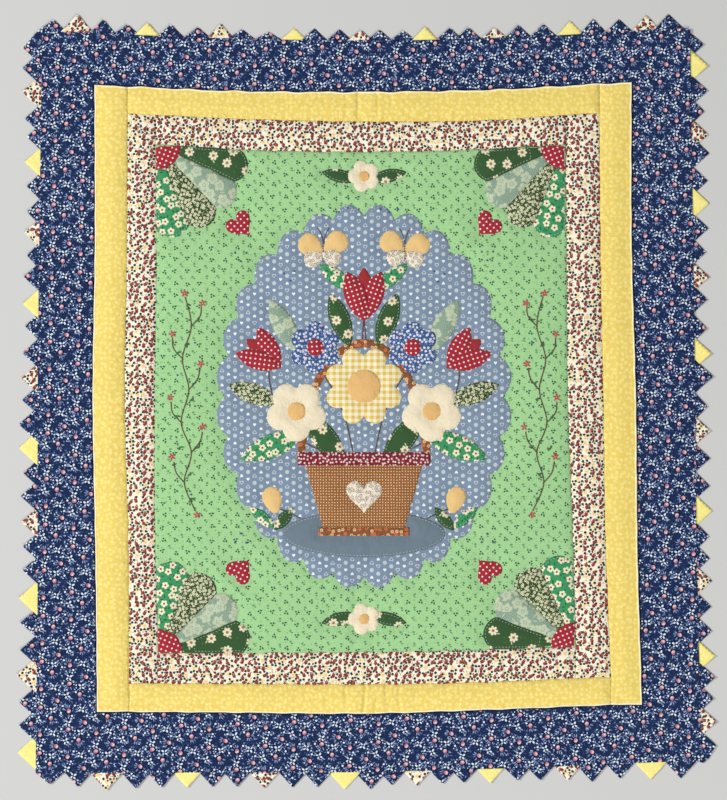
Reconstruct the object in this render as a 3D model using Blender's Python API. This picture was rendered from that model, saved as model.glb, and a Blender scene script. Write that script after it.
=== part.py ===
"""Appliqué quilt with prairie points, lying flat with its face up.

Real size, in metres. +Z is the quilt's face and +Y runs to its top edge. The origin is on the flat
underside, below the middle of the centre panel. Every panel and strip is a slab of its own: its
underside is flat, its seam lines wander as hand-pieced seams do, and the filling puffs its face up
between the quilted lines. The prairie points go round the edge clockwise, each one over the last.
"""

import math

import bmesh
import bpy
from mathutils.geometry import delaunay_2d_cdt
from mathutils.kdtree import KDTree

MM = 0.001
GAP = 0.3 * MM                  # between neighbouring pieces

# Driving sizes of the patchwork, before its seams wander
PANEL_WIDTH = 664 * MM
PANEL_HEIGHT = 806 * MM
DITSY_STRIP = 50 * MM
YELLOW_STRIP = 48 * MM
NAVY_STRIP = 86 * MM
ROOT_STRIP = 6 * MM             # seam allowance of the prairie points, along the navy border's edge

# Heights above the surface on which the quilt lies
SEAM_HEIGHT = 3.6 * MM          # where stitches draw the layers together
LOFT = 3.4 * MM                 # how much higher the filling puffs up away from stitches
LOFT_REACH = 13 * MM            # distance from the stitches that takes most of that rise
PATCH_LIFT = 0.8 * MM           # one more layer of cloth, where a patch is sewn on
FOLDED_EDGE = 2.4 * MM          # at the very edge of the filled part, which is folded over
EDGE_ROUND = 5 * MM             # width of that rounded edge
NAVY_HEIGHT = 2.2 * MM          # the unfilled outer border
NAVY_RIPPLE = 0.7 * MM

# Prairie points: cloth squares folded to triangles, each overlapped by the next one clockwise
POINT_SPREAD = 0.92             # half a point's base, as a part of its reach
LEAST_HALF_BASE = 21 * MM       # of a point that is sewn far in
LEAST_OVERLAP = 2 * MM          # points that overlap less than this only meet
LEAST_NOTCH = 4 * MM            # a point whose foot is nearer to a corner reaches it
POINT_FOLD_HEIGHT = 1.5 * MM    # at its folded sides and its tip
POINT_HEIGHT = 2.5 * MM         # away from its folds
POINT_ROUND = 7 * MM            # distance from the folds that takes that rise

# Mesh steps
OUTLINE_STEP = 20 * MM
STRIP_STEP = 27 * MM
LATTICE_STEP = 18 * MM
QUILTING_STEP = 9.5 * MM
UNDERSIDE_STEP = 80 * MM
CLEAR_OF_STITCHES = 8 * MM      # lattice points keep this far from the quilted lines

# How far each rectangle of lines lies outside the panel's own; the points' bases are the last
FRAME_MARGINS = {
    "panel": 0.0,
    "ditsy": DITSY_STRIP,
    "yellow": DITSY_STRIP + YELLOW_STRIP,
    "navy": DITSY_STRIP + YELLOW_STRIP + NAVY_STRIP,
    "points": DITSY_STRIP + YELLOW_STRIP + NAVY_STRIP + ROOT_STRIP,
}

# How far each seam line lies outside its straight place, in mm, at five even stations:
# left to right on the top and bottom lines, top to bottom on the sides
WANDER = {
    "panel": {
        "top": (5.5, -3.8, -6.2, -3, 6),
        "bottom": (2.5, 1.4, 0, -2.6, -7.5),
        "left": (1, -0.3, 2.2, 2.2, -2.5),
        "right": (-9, -7.6, -5.8, 1.6, 6.8),
    },
    "ditsy": {
        "top": (4.5, -3.8, -7.8, -6, 5.8),
        "bottom": (0, 1.1, 1.8, -1.5, -9.5),
        "left": (-4, -3, 0.5, -5.5, -6.5),
        "right": (-5.5, -3.6, 0.8, 4.3, 12.9),
    },
    "yellow": {
        "top": (2.3, -6.6, -8.2, -4.4, 7),
        "bottom": (-2.5, -1.2, 0.5, -6.2, -14),
        "left": (1, 0.5, 4, -0.5, -3),
        "right": (-2, -1.7, 5, 7.6, 14.6),
    },
    "navy": {
        "top": (-3, -13, -18, -12, 2),
        "bottom": (4, 3, 2, -5, -15),
        "left": (-7, -3, 0, 0, 3),
        "right": (0, 4, 8, 11, 19),
    },
}
WANDER["points"] = WANDER["navy"]

# Soft troughs left by folding. Columns, in mm: x and y of one end, x and y of the other,
# depth, half width
CREASES = (
    (-6, 505, 2, 330, 1.3, 9),
    (-16, -505, -12, -180, 1.0, 8),
    (12, -500, 8, -230, 1.2, 8),
    (28, -430, 24, -320, 0.8, 7),
)

# Stations across a border strip, as parts of its width from its outer line
ACROSS = {
    "ditsy": (0.22, 0.5, 0.78),
    "yellow": (0.04, 0.1, 0.3, 0.55, 0.8),
    "navy": (0.33, 0.67),
}

# Prairie points along each side, from left to right or from top to bottom. The first coloured one,
# its colour, then each tip's place along the side and its reach outside the base line; in mm
POINT_ROWS = {
    "top": (1, "flowered", (
        -496, -458, -417, -379, -346, -309, -266, -229, -195, -152, -111, -79, -39, -5, 25, 63, 98,
        137, 167, 209, 247, 287, 330, 367, 408, 452, 487,
    ), (
        19, 29, 22, 16, 20, 19, 16, 23, 15, 12, 19, 19, 18, 17, 17, 15, 21, 18, 18, 16, 19, 19, 22, 23,
        20, 24, 24,
    )),
    "bottom": (2, "flowered", (
        -502, -457, -412, -365, -324, -283, -242, -203, -159, -114, -74, -31, 11, 45, 85, 126, 160,
        202, 246, 282, 326, 365, 410, 459, 507,
    ), (
        18, 22, 28, 25, 24, 24, 23, 23, 25, 24, 24, 28, 28, 22, 24, 22, 21, 23, 20, 21, 23, 27, 24, 27,
        27,
    )),
    "left": (2, "flowered", (
        563, 531, 493, 450, 421, 381, 342, 301, 268, 231, 197, 154, 118, 75, 35, 0, -39, -77, -117,
        -154, -195, -234, -272, -317, -356, -400, -440, -483, -521, -564,
    ), (
        30, 31, 31, 26, 22, 25, 21, 20, 24, 19, 24, 25, 21, 25, 26, 25, 30, 30, 23, 27, 26, 24, 24, 30,
        27, 27, 32, 28, 28, 30,
    )),
    "right": (1, "yellow", (
        569, 535, 495, 462, 425, 395, 351, 315, 275, 237, 197, 161, 115, 75, 38, -10, -49, -93, -137,
        -177, -218, -253, -289, -330, -369, -409, -443, -477, -514, -552,
    ), (
        21, 28, 27, 21, 27, 28, 25, 27, 25, 20, 25, 21, 20, 27, 29, 19, 24, 23, 22, 26, 21, 21, 24, 22,
        22, 26, 25, 21, 25, 23,
    )),
}
COLOURED_EVERY = 3

# How the folded cloth rounds the corners, in mm: how far the outer corner lies outside the side's
# base line and outside the row's own one, and how far the join with the side's row reaches out
CORNERS = {
    ("top", "left"): (2.4, 3.7, 13),
    ("top", "right"): (-11.7, 1, -2.2),
    ("bottom", "left"): (0, 0, 0),
    ("bottom", "right"): (1.6, 2.4, 12),
}

# Appliqué patches of the centre, from the lowest up: a basket of flowers on a scalloped oval.
# Columns: shape, x, y, turn in degrees, length, width, detail of the shape, mirrored twin; in mm
PATCHES = (
    ("scallops", 0, 6, 0, 474, 616, 28, False),
    ("egg", 0, -214, 0, 262, 76, 0, False),
    ("arch", 0, -98, 0, 214, 196, 14, False),
    ("leaf", 62, -62, 52, 104, 40, 0, True),
    ("leaf", 148, -74, -22, 108, 40, 0, True),
    ("leaf", 176, 10, 20, 86, 34, 0, True),
    ("leaf", 128, 118, 62, 96, 36, 0, True),
    ("leaf", 38, 128, 70, 92, 34, 0, True),
    ("leaf", 44, 196, 38, 70, 26, 0, True),
    ("band", 0, -152, 0, 192, 110, 130, False),
    ("band", 0, -210, 0, 146, 14, 146, False),
    ("band", 0, -94, 0, 212, 22, 212, False),
    ("heart", 0, -156, 0, 58, 54, 0, False),
    ("flower", 108, -18, 18, 98, 98, 5, True),
    ("egg", 108, -18, 0, 30, 30, 0, True),
    ("flower", 78, 84, 0, 84, 84, 6, True),
    ("egg", 78, 84, 0, 28, 28, 0, True),
    ("flower", 0, 22, 0, 128, 128, 8, False),
    ("egg", 0, 22, 0, 54, 54, 0, False),
    ("leaf", 160, 74, 40, 74, 30, 0, True),
    ("leaf", 152, 84, 62, 74, 32, 0, True),
    ("leaf", 170, 64, 18, 74, 32, 0, True),
    ("leaf", 0, 170, 90, 84, 34, 0, False),
    ("leaf", 13, 166, 70, 84, 36, 0, True),
    ("egg", 146, -160, 75, 44, 30, 0.3, True),
    ("leaf", 162, -188, 40, 52, 20, 0, True),
    ("leaf", 128, -190, 130, 48, 20, 0, True),
    ("egg", 84, 246, 35, 44, 34, 0.35, True),
    ("egg", 46, 250, 140, 44, 34, 0.35, True),
    ("egg", 80, 226, -25, 32, 26, 0.3, True),
    ("egg", 52, 228, 205, 32, 26, 0.3, True),
    ("heart", 196, 278, -40, 44, 42, 0, True),
    ("heart", 196, -270, 220, 44, 42, 0, True),
    ("leaf", 38, 358, 12, 62, 22, 0, True),
    ("flower", 0, 358, 0, 52, 52, 5, False),
    ("egg", 0, 358, 0, 18, 18, 0, False),
    ("leaf", 38, -350, -12, 62, 22, 0, True),
    ("flower", 0, -350, 0, 52, 52, 5, False),
    ("egg", 0, -350, 0, 18, 18, 0, False),
)

# The pieced fans in the panel's corners
FAN_RADIUS = 150 * MM
FAN_HUB = 40 * MM
FAN_LOBE = 14 * MM
FAN_BLADES = 4

# Colour, as linear red, green and blue, and roughness of each cloth
CLOTHS = {
    "panel_green": ((0.38, 0.66, 0.30), 0.92),
    "flowered": ((0.78, 0.60, 0.50), 0.92),
    "yellow": ((0.87, 0.64, 0.17), 0.92),
    "navy": ((0.020, 0.040, 0.150), 0.92),
}


# Numbers and lines

def mix(low, high, part):
    return low + (high - low) * part


def curve_through(values, part):
    """A smooth curve through evenly spaced values, held level beyond both ends."""
    place = min(max(part, 0.0), 1.0) * (len(values) - 1)
    left = min(int(place), len(values) - 2)
    start, end = values[left], values[left + 1]
    start_slope = (end - values[max(left - 1, 0)]) / 2
    end_slope = (values[min(left + 2, len(values) - 1)] - start) / 2
    t = place - left
    return (
        start * (1 + 2 * t) * (1 - t) ** 2
        + start_slope * t * (1 - t) ** 2
        + end * t * t * (3 - 2 * t)
        - end_slope * t * t * (1 - t)
    )


def seam(frame, side, along):
    """Where a seam line lies, at a place along it: y for top and bottom, x for left and right."""
    half_width = PANEL_WIDTH / 2 + FRAME_MARGINS[frame]
    half_height = PANEL_HEIGHT / 2 + FRAME_MARGINS[frame]
    if side in ("top", "bottom"):
        out, part = half_height, 0.5 + along / (2 * half_width)
    else:
        out, part = half_width, 0.5 - along / (2 * half_height)
    out += curve_through(WANDER[frame][side], part) * MM
    return out if side in ("top", "right") else -out


def inside_of(line, x, y):
    """How far a place lies inside a seam line, towards the middle of the quilt."""
    frame, side = line
    if side in ("top", "bottom"):
        return abs(seam(frame, side, x)) - y * (1 if side == "top" else -1)
    return abs(seam(frame, side, y)) - x * (1 if side == "right" else -1)


def place_between(bounds, across, up):
    """The place at given parts of the way from the left to the right and the bottom to the top line."""
    left, right, bottom, top = bounds
    x = mix(seam(*left, 0), seam(*right, 0), across)
    for _ in range(3):
        y = mix(seam(*bottom, x) + GAP / 2, seam(*top, x) - GAP / 2, up)
        x = mix(seam(*left, y) + GAP / 2, seam(*right, y) - GAP / 2, across)
    return x, y


# Outlines of the patches, around their own middles

def lobed(length, width, lobes, depth):
    outline = []
    steps = int(lobes) * 8
    for step in range(steps):
        angle = 2 * math.pi * step / steps
        reach = 1 - depth + depth * abs(math.sin(lobes * angle / 2)) ** 0.8
        outline.append((length / 2 * reach * math.cos(angle), width / 2 * reach * math.sin(angle)))
    return outline


def rounded(length, width, taper, sharpness):
    outline = []
    for step in range(36):
        angle = 2 * math.pi * step / 36
        along = math.cos(angle)
        half = width / 2 * max(0.0, 1 - along * along) ** sharpness * (1 + taper * along)
        outline.append((length / 2 * along, math.copysign(half, math.sin(angle))))
    return outline


def heart(length, width):
    outline = []
    for step in range(36):
        angle = 2 * math.pi * step / 36
        x = 16 * math.sin(angle) ** 3
        y = 13 * math.cos(angle) - 5 * math.cos(2 * angle) - 2 * math.cos(3 * angle) - math.cos(4 * angle)
        outline.append((length * x / 32, width * (y + 2.5) / 29))
    return outline


def band(top_width, height, bottom_width):
    return [
        (-bottom_width / 2, -height / 2),
        (bottom_width / 2, -height / 2),
        (top_width / 2, height / 2),
        (-top_width / 2, height / 2),
    ]


def arch(width, height, thickness):
    angles = [math.pi * step / 24 for step in range(25)]
    outer = [(width / 2 * math.cos(a), height * math.sin(a)) for a in angles]
    inner = [((width / 2 - thickness) * math.cos(a), (height - thickness) * math.sin(a)) for a in angles]
    return outer + inner[::-1]


def patch_outline(shape, length, width, detail):
    if shape == "scallops":
        return lobed(length, width, detail, 0.06)
    if shape == "flower":
        return lobed(length, width, detail, 0.24)
    if shape == "leaf":
        return rounded(length, width, 0, 0.85)
    if shape == "egg":
        return rounded(length, width, detail, 0.5)
    if shape == "heart":
        return heart(length, width)
    if shape == "band":
        return band(length, width, detail)
    return arch(length, width, detail)


def patch_outlines():
    """Every patch's outline in its place, from the lowest up."""
    outlines = []
    for shape, x, y, turn, length, width, detail, twin in PATCHES:
        cos, sin = math.cos(math.radians(turn)), math.sin(math.radians(turn))
        flat = patch_outline(shape, length, width, detail)
        outline = [((x + u * cos - v * sin) * MM, (y + u * sin + v * cos) * MM) for u, v in flat]
        outlines.append(outline)
        if twin:
            outlines.append([(-u, v) for u, v in outline])
    return outlines


def fan_blade(index):
    """One blade of a fan whose hub is at the origin."""
    start = math.pi / 2 * index / FAN_BLADES
    end = math.pi / 2 * (index + 1) / FAN_BLADES
    outline = []
    for step in range(9):
        angle = mix(start, end, step / 8)
        reach = FAN_RADIUS - FAN_LOBE + FAN_LOBE * math.sin(math.pi * step / 8) ** 0.8
        outline.append((reach * math.cos(angle), reach * math.sin(angle)))
    outline.append((FAN_HUB * math.cos(end), FAN_HUB * math.sin(end)))
    outline.append((FAN_HUB * math.cos(start), FAN_HUB * math.sin(start)))
    return outline


def fan_outlines():
    """The fans' blades, each fan spreading from a corner of the panel."""
    outlines = []
    for left_right in (-1, 1):
        for down_up in (-1, 1):
            for index in range(FAN_BLADES):
                outlines.append([
                    (left_right * (PANEL_WIDTH / 2 - u), down_up * (PANEL_HEIGHT / 2 - v))
                    for u, v in fan_blade(index)
                ])
    return outlines


def is_within(outline, x, y):
    inside = False
    for (x1, y1), (x2, y2) in zip(outline, outline[1:] + outline[:1]):
        if (y1 > y) != (y2 > y) and x < x1 + (y - y1) * (x2 - x1) / (y2 - y1):
            inside = not inside
    return inside


def along_outline(outline, step):
    """Places along a closed outline, evenly spaced at about a step."""
    edges = list(zip(outline, outline[1:] + outline[:1]))
    total = sum(math.dist(*edge) for edge in edges)
    spacing = total / max(3, round(total / step))
    places = []
    travelled = 0.0
    for start, end in edges:
        length = math.dist(start, end)
        while len(places) * spacing < travelled + length - spacing / 100:
            part = (len(places) * spacing - travelled) / length
            places.append((mix(start[0], end[0], part), mix(start[1], end[1], part)))
        travelled += length
    return places


def quilted_places(outlines, step):
    """Places on the outlines that no higher patch hides."""
    places = []
    for index, outline in enumerate(outlines):
        higher = outlines[index + 1:]
        for x, y in along_outline(outline, step):
            if not any(is_within(other, x, y) for other in higher):
                places.append((x, y))
    return places


def kept_apart(places, taken, distance):
    """The places that keep a distance from those already taken and from each other."""
    cell = distance
    grid = {}

    def near(x, y):
        column, row = int(x // cell), int(y // cell)
        for i in (column - 1, column, column + 1):
            for j in (row - 1, row, row + 1):
                for u, v in grid.get((i, j), ()):
                    if math.hypot(x - u, y - v) < distance:
                        return True
        return False

    for x, y in taken:
        grid.setdefault((int(x // cell), int(y // cell)), []).append((x, y))
    kept = []
    for x, y in places:
        if not near(x, y):
            kept.append((x, y))
            grid.setdefault((int(x // cell), int(y // cell)), []).append((x, y))
    return kept


# Heights of the face

def crease_depth(x, y):
    """How far the soft fold troughs press the face down."""
    depth = 0.0
    for x1, y1, x2, y2, deep, half_width in CREASES:
        along_x, along_y = (x2 - x1) * MM, (y2 - y1) * MM
        part = ((x - x1 * MM) * along_x + (y - y1 * MM) * along_y) / (along_x ** 2 + along_y ** 2)
        part = min(max(part, 0.0), 1.0)
        off = math.hypot(x - x1 * MM - along_x * part, y - y1 * MM - along_y * part)
        depth += deep * MM * math.exp(-(off / (half_width * MM)) ** 2)
    return depth


def filled_height(bounds, x, y, from_stitches=math.inf, lift=0.0):
    """Height of a filled slab: low at its seams and stitches, rounded over at a folded edge."""
    edge = math.inf
    for line in bounds:
        distance = abs(inside_of(line, x, y))
        if line[0] == "yellow":
            edge = min(edge, distance)
        else:
            from_stitches = min(from_stitches, distance)
    rise = 1 - math.exp(-from_stitches / LOFT_REACH)
    height = SEAM_HEIGHT + LOFT * rise + lift * min(1.0, from_stitches / CLEAR_OF_STITCHES)
    height -= crease_depth(x, y)
    if edge < EDGE_ROUND:
        over = math.sqrt(1 - (1 - edge / EDGE_ROUND) ** 2)
        height = mix(FOLDED_EDGE, height, over)
    return height


def navy_height(x, y):
    """Height of the unfilled outer border, which ripples a little."""
    ripple = math.sin(x / 0.047 + 2 * math.sin(y / 0.09)) * math.sin(y / 0.061 + 1.3)
    return NAVY_HEIGHT + NAVY_RIPPLE * (0.5 + 0.5 * ripple)


# Solids

def cloth_material(name):
    material = bpy.data.materials.get(name)
    if material is None:
        colour, roughness = CLOTHS[name]
        material = bpy.data.materials.new(name)
        material.use_nodes = True
        shader = material.node_tree.nodes["Principled BSDF"]
        shader.inputs["Base Color"].default_value = (*colour, 1)
        shader.inputs["Roughness"].default_value = roughness
        shader.inputs["Metallic"].default_value = 0
    return material


def triangles_within(outline, inner):
    """Triangles that fill an outline and pass through the inner places."""
    places = outline + inner
    edges = [(index, (index + 1) % len(outline)) for index in range(len(outline))]
    result = delaunay_2d_cdt(places, edges, [], 1, 1e-7)
    return [tuple(place) for place in result[0]], result[2], result[3]


def slab(name, outline, inner, under, height, cloth):
    """A closed solid with vertical sides, a flat underside at z = 0 and a shaped face."""
    mesh = bmesh.new()
    rims = []
    for face_up, inside_places in ((True, inner), (False, under)):
        places, faces, sources = triangles_within(outline, inside_places)
        points = [mesh.verts.new((x, y, height(x, y) if face_up else 0.0)) for x, y in places]
        for face in faces:
            corners = [points[index] for index in face]
            mesh.faces.new(corners if face_up else corners[::-1])
        rim = [None] * len(outline)
        for point, source in zip(points, sources):
            for index in source:
                if index < len(outline):
                    rim[index] = point
        rims.append(rim)
    upper, lower = rims
    for index in range(len(outline)):
        after = (index + 1) % len(outline)
        mesh.faces.new((lower[index], lower[after], upper[after], upper[index]))
    bmesh.ops.triangulate(mesh, faces=mesh.faces[:])
    bmesh.ops.recalc_face_normals(mesh, faces=mesh.faces[:])
    data = bpy.data.meshes.new(name)
    mesh.to_mesh(data)
    mesh.free()
    data.materials.append(cloth_material(cloth))
    solid = bpy.data.objects.new(name, data)
    bpy.context.scene.collection.objects.link(solid)
    return solid


def stations(length, step):
    count = max(2, round(length / step))
    return [index / count for index in range(count + 1)]


def ring(bounds, across, up):
    """The outline of a slab, anticlockwise, through its stations across and up."""
    places = [place_between(bounds, u, 0) for u in across[:-1]]
    places += [place_between(bounds, 1, v) for v in up[:-1]]
    places += [place_between(bounds, u, 1) for u in across[:0:-1]]
    places += [place_between(bounds, 0, v) for v in up[:0:-1]]
    return places


def centre_panel():
    """The panel with its quilted patches, whose outlines press into the puffed face."""
    sides = ("left", "right", "bottom", "top")
    bounds = [("panel", side) for side in sides]
    patches = patch_outlines()
    outlines = fan_outlines() + patches
    stitches = [
        (x, y) for x, y in quilted_places(outlines, 3 * MM)
        if min(inside_of(line, x, y) for line in bounds) > 0
    ]
    tree = KDTree(len(stitches))
    for index, (x, y) in enumerate(stitches):
        tree.insert((x, y, 0), index)
    tree.balance()
    boxes = [
        (min(p[0] for p in line), max(p[0] for p in line), min(p[1] for p in line), max(p[1] for p in line))
        for line in outlines
    ]

    def height(x, y):
        on_patch = any(
            low_x < x < high_x and low_y < y < high_y and is_within(outline, x, y)
            for outline, (low_x, high_x, low_y, high_y) in zip(outlines, boxes)
        )
        from_stitches = tree.find((x, y, 0))[2]
        return filled_height(bounds, x, y, from_stitches, PATCH_LIFT if on_patch else 0.0)

    outline = ring(bounds, stations(PANEL_WIDTH, OUTLINE_STEP), stations(PANEL_HEIGHT, OUTLINE_STEP))
    inner = []
    for places, apart in (
        (quilted_places(outlines, QUILTING_STEP), QUILTING_STEP * 0.6),
        (lattice(PANEL_WIDTH, PANEL_HEIGHT, LATTICE_STEP), CLEAR_OF_STITCHES),
    ):
        places = [p for p in places if min(inside_of(line, *p) for line in bounds) > apart]
        inner += kept_apart(places, outline + inner, apart)
    under = [
        p for p in lattice(PANEL_WIDTH, PANEL_HEIGHT, UNDERSIDE_STEP)
        if min(inside_of(line, *p) for line in bounds) > UNDERSIDE_STEP / 3
    ]
    slab("centre_panel", outline, inner, under, height, "panel_green")


def lattice(width, height, step):
    """Places of a triangular lattice over the middle of the quilt."""
    places = []
    rows = int(height / 2 / (step * 0.866))
    columns = int(width / 2 / step) + 1
    for row in range(-rows, rows + 1):
        shift = step / 2 if row % 2 else 0.0
        for column in range(-columns, columns + 1):
            places.append((column * step + shift, row * step * 0.866))
    return places


def strip_bounds(inner, outer):
    """The four lines around each strip of a border; the side strips run its full height."""
    return {
        "left": ((outer, "left"), (inner, "left"), (outer, "bottom"), (outer, "top")),
        "right": ((inner, "right"), (outer, "right"), (outer, "bottom"), (outer, "top")),
        "bottom": ((inner, "left"), (inner, "right"), (outer, "bottom"), (inner, "bottom")),
        "top": ((inner, "left"), (inner, "right"), (inner, "top"), (outer, "top")),
    }


def border(inner, outer, cloth):
    """A border's four strips, between two rectangles of seam lines."""
    full_width = PANEL_WIDTH + 2 * FRAME_MARGINS[outer]
    full_height = PANEL_HEIGHT + 2 * FRAME_MARGINS[outer]
    for side, bounds in strip_bounds(inner, outer).items():
        across = (0.0, *ACROSS[outer], 1.0)
        if side in ("right", "top"):
            across = tuple(1 - part for part in reversed(across))
        if side in ("left", "right"):
            along = stations(full_height, STRIP_STEP)
            outline = ring(bounds, across, along)
            inside = [place_between(bounds, u, v) for u in across[1:-1] for v in along[1:-1]]
        else:
            along = stations(full_width, STRIP_STEP)
            outline = ring(bounds, along, across)
            inside = [place_between(bounds, u, v) for u in along[1:-1] for v in across[1:-1]]

        def height(x, y, bounds=bounds):
            return navy_height(x, y) if outer == "navy" else filled_height(bounds, x, y)

        slab(f"{outer}_strip_{side}", outline, inside, [], height, cloth)


# Prairie points

def row_place(side, along, out, frame="points"):
    """The place at a distance outside the points' base line, or outside another line."""
    line = seam(frame, side, along)
    away = line + math.copysign(1.0, line) * out
    return (along, away) if side in ("top", "bottom") else (away, along)


def row_bounds(side):
    """The four lines around a side's root strip; the top and bottom ones run the full width."""
    return {
        "left": (("points", "left"), ("navy", "left"), ("navy", "bottom"), ("navy", "top")),
        "right": (("navy", "right"), ("points", "right"), ("navy", "bottom"), ("navy", "top")),
        "bottom": (("points", "left"), ("points", "right"), ("points", "bottom"), ("navy", "bottom")),
        "top": (("points", "left"), ("points", "right"), ("navy", "top"), ("points", "top")),
    }[side]


def row_corners(side):
    """The root strip's corners in the points' order: both outer ones, then both inner ones."""
    bounds = row_bounds(side)
    corners = {
        "left": ((0, 1), (0, 0), (1, 1), (1, 0)),
        "right": ((1, 1), (1, 0), (0, 1), (0, 0)),
        "bottom": ((0, 0), (1, 0), (0, 1), (1, 1)),
        "top": ((0, 1), (1, 1), (0, 0), (1, 0)),
    }[side]
    corners = [place_between(bounds, *corner) for corner in corners]

    def move(index, right, up):
        x, y = corners[index]
        corners[index] = (x + right * MM, y + up * MM)

    for (level, end), (beside, beyond, joint) in CORNERS.items():
        right = 1 if end == "right" else -1
        up = 1 if level == "top" else -1
        if side == level:
            outer = 1 if end == "right" else 0
            move(outer, right * beside, up * beyond)
            move(outer + 2, right * joint, 0)
        if side == end:
            move(0 if level == "top" else 1, right * joint, 0)
    return corners


def points_of(side):
    """Each point of a side, clockwise round the quilt: number, place along the side, reach, cloth."""
    first_coloured, colour, places, reaches = POINT_ROWS[side]
    cloths = (colour, "flowered" if colour == "yellow" else "yellow")
    points = []
    for index, (place, reach) in enumerate(zip(places, reaches)):
        turn, between = divmod(index - first_coloured, COLOURED_EVERY)
        points.append((index + 1, place * MM, reach * MM, "navy" if between else cloths[turn % 2]))
    return points[::-1] if side in ("bottom", "left") else points


def feet_of(points, way, first, last):
    """Where each point's two sides meet the base line, between the row's corners."""
    feet = []
    for _, place, reach, _ in points:
        half = max(POINT_SPREAD * reach, LEAST_HALF_BASE)
        feet.append([place - way * half, place + way * half])
    if way * (feet[0][0] - first) < LEAST_NOTCH:
        feet[0][0] = first
    if way * (last - feet[-1][1]) < LEAST_NOTCH:
        feet[-1][1] = last
    return feet


def inset(polygon, distance):
    """A convex, anticlockwise polygon with each side moved in by a distance."""
    moved = []
    for index, (x, y) in enumerate(polygon):
        before, after = polygon[index - 1], polygon[(index + 1) % len(polygon)]
        to_here, onward = math.dist(before, (x, y)), math.dist((x, y), after)
        in_x, in_y = (x - before[0]) / to_here, (y - before[1]) / to_here
        out_x, out_y = (after[0] - x) / onward, (after[1] - y) / onward
        shift = distance / (in_x * out_y - in_y * out_x)
        moved.append((x + (out_x - in_x) * shift, y + (out_y - in_y) * shift))
    return moved


def from_outline(outline, x, y):
    """Distance of a place from an outline."""
    nearest = math.inf
    for (x1, y1), (x2, y2) in zip(outline, outline[1:] + outline[:1]):
        along_x, along_y = x2 - x1, y2 - y1
        part = ((x - x1) * along_x + (y - y1) * along_y) / (along_x ** 2 + along_y ** 2)
        part = min(max(part, 0.0), 1.0)
        nearest = min(nearest, math.hypot(x - x1 - along_x * part, y - y1 - along_y * part))
    return nearest


def folded_slab(name, outline, inner, cloth):
    """A slab of folded cloth, lower along its outline."""
    def height(x, y):
        rise = min(1.0, from_outline(outline, x, y) / POINT_ROUND)
        return mix(POINT_FOLD_HEIGHT, POINT_HEIGHT, rise)

    slab(name, outline, inner, [], height, cloth)


def point_row(side):
    """A side's navy points, fused at their roots, and its coloured points, each on its own."""
    way = 1 if side in ("top", "left") else -1
    corners = row_corners(side)
    if side in ("bottom", "left"):
        corners = [corners[1], corners[0], corners[3], corners[2]]
    outer_start, outer_end, inner_start, inner_end = corners
    axis = 0 if side in ("top", "bottom") else 1
    points = points_of(side)
    feet = feet_of(points, way, outer_start[axis], outer_end[axis])
    outline = [outer_start]
    middles = []

    def add(along, out):
        place = row_place(side, along, out)
        if math.dist(place, outline[-1]) > 2 * GAP:
            outline.append(place)

    for index, (number, place, reach, cloth) in enumerate(points):
        start, end = feet[index]
        crossing = None
        next_start = feet[index + 1][0] if index + 1 < len(points) else end
        if way * (end - next_start) > LEAST_OVERLAP:
            slope = reach / abs(end - place)
            next_slope = points[index + 1][2] / abs(points[index + 1][1] - next_start)
            along = (slope * end + next_slope * next_start) / (slope + next_slope)
            crossing = (along, slope * abs(end - along))
        if way * (end - next_start) > 0:
            end = next_start
        middle = row_place(side, place, reach * 0.4)
        if cloth == "navy":
            if index > 0:
                apart = way * (start - feet[index - 1][1]) > 0
            else:
                apart = start != outer_start[axis]
            if apart or index > 0 and points[index - 1][3] != "navy":
                add(start, -GAP / 2)
            add(place, reach)
            if crossing:
                add(*crossing)
            if end != outer_end[axis] and (not crossing or points[index + 1][3] != "navy"):
                add(end, -GAP / 2)
            middles.append(middle)
            continue
        own = [(end, 0), crossing, (place, reach), (start, 0)]
        own = [row_place(side, *corner) for corner in own if corner]
        folded_slab(f"point_{side}_{number:02d}_{cloth}", inset(own, GAP), [middle], cloth)
    if math.dist(outline[-1], outer_end) < 2 * GAP:
        outline.pop()
    outline += [outer_end, inner_end]
    for (_, place, _, _), (start, _) in zip(reversed(points), reversed(feet)):
        outline.append(row_place(side, place, GAP / 2, "navy"))
        outline.append(row_place(side, start, GAP / 2, "navy"))
    outline[-1] = inner_start
    folded_slab(f"points_{side}", outline[::-1], middles, "navy")


def main():
    for old in list(bpy.data.objects):
        bpy.data.objects.remove(old)
    centre_panel()
    border("panel", "ditsy", "flowered")
    border("ditsy", "yellow", "yellow")
    border("yellow", "navy", "navy")
    for side in POINT_ROWS:
        point_row(side)


main()
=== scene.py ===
"""Finished look of the appliqué quilt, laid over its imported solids. Metres, +Z up, +Y to its top edge."""

import math

import bmesh
import bpy
import numpy as np
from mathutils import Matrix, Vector, noise
from mathutils.kdtree import KDTree


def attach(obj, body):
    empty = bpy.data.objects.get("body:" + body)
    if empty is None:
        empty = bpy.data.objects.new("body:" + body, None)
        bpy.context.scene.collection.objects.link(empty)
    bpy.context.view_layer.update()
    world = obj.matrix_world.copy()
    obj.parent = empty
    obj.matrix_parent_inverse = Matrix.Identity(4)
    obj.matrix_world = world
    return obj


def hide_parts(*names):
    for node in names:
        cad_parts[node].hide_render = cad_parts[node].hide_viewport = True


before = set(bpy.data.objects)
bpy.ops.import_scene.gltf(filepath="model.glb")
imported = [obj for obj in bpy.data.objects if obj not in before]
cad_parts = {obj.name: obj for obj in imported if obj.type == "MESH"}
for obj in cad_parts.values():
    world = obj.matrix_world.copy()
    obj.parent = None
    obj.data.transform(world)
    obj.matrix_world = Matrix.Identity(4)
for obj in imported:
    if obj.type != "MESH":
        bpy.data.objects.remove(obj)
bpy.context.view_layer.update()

MM = 0.001
GAP = 0.3 * MM                  # between neighbouring cloths

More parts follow.
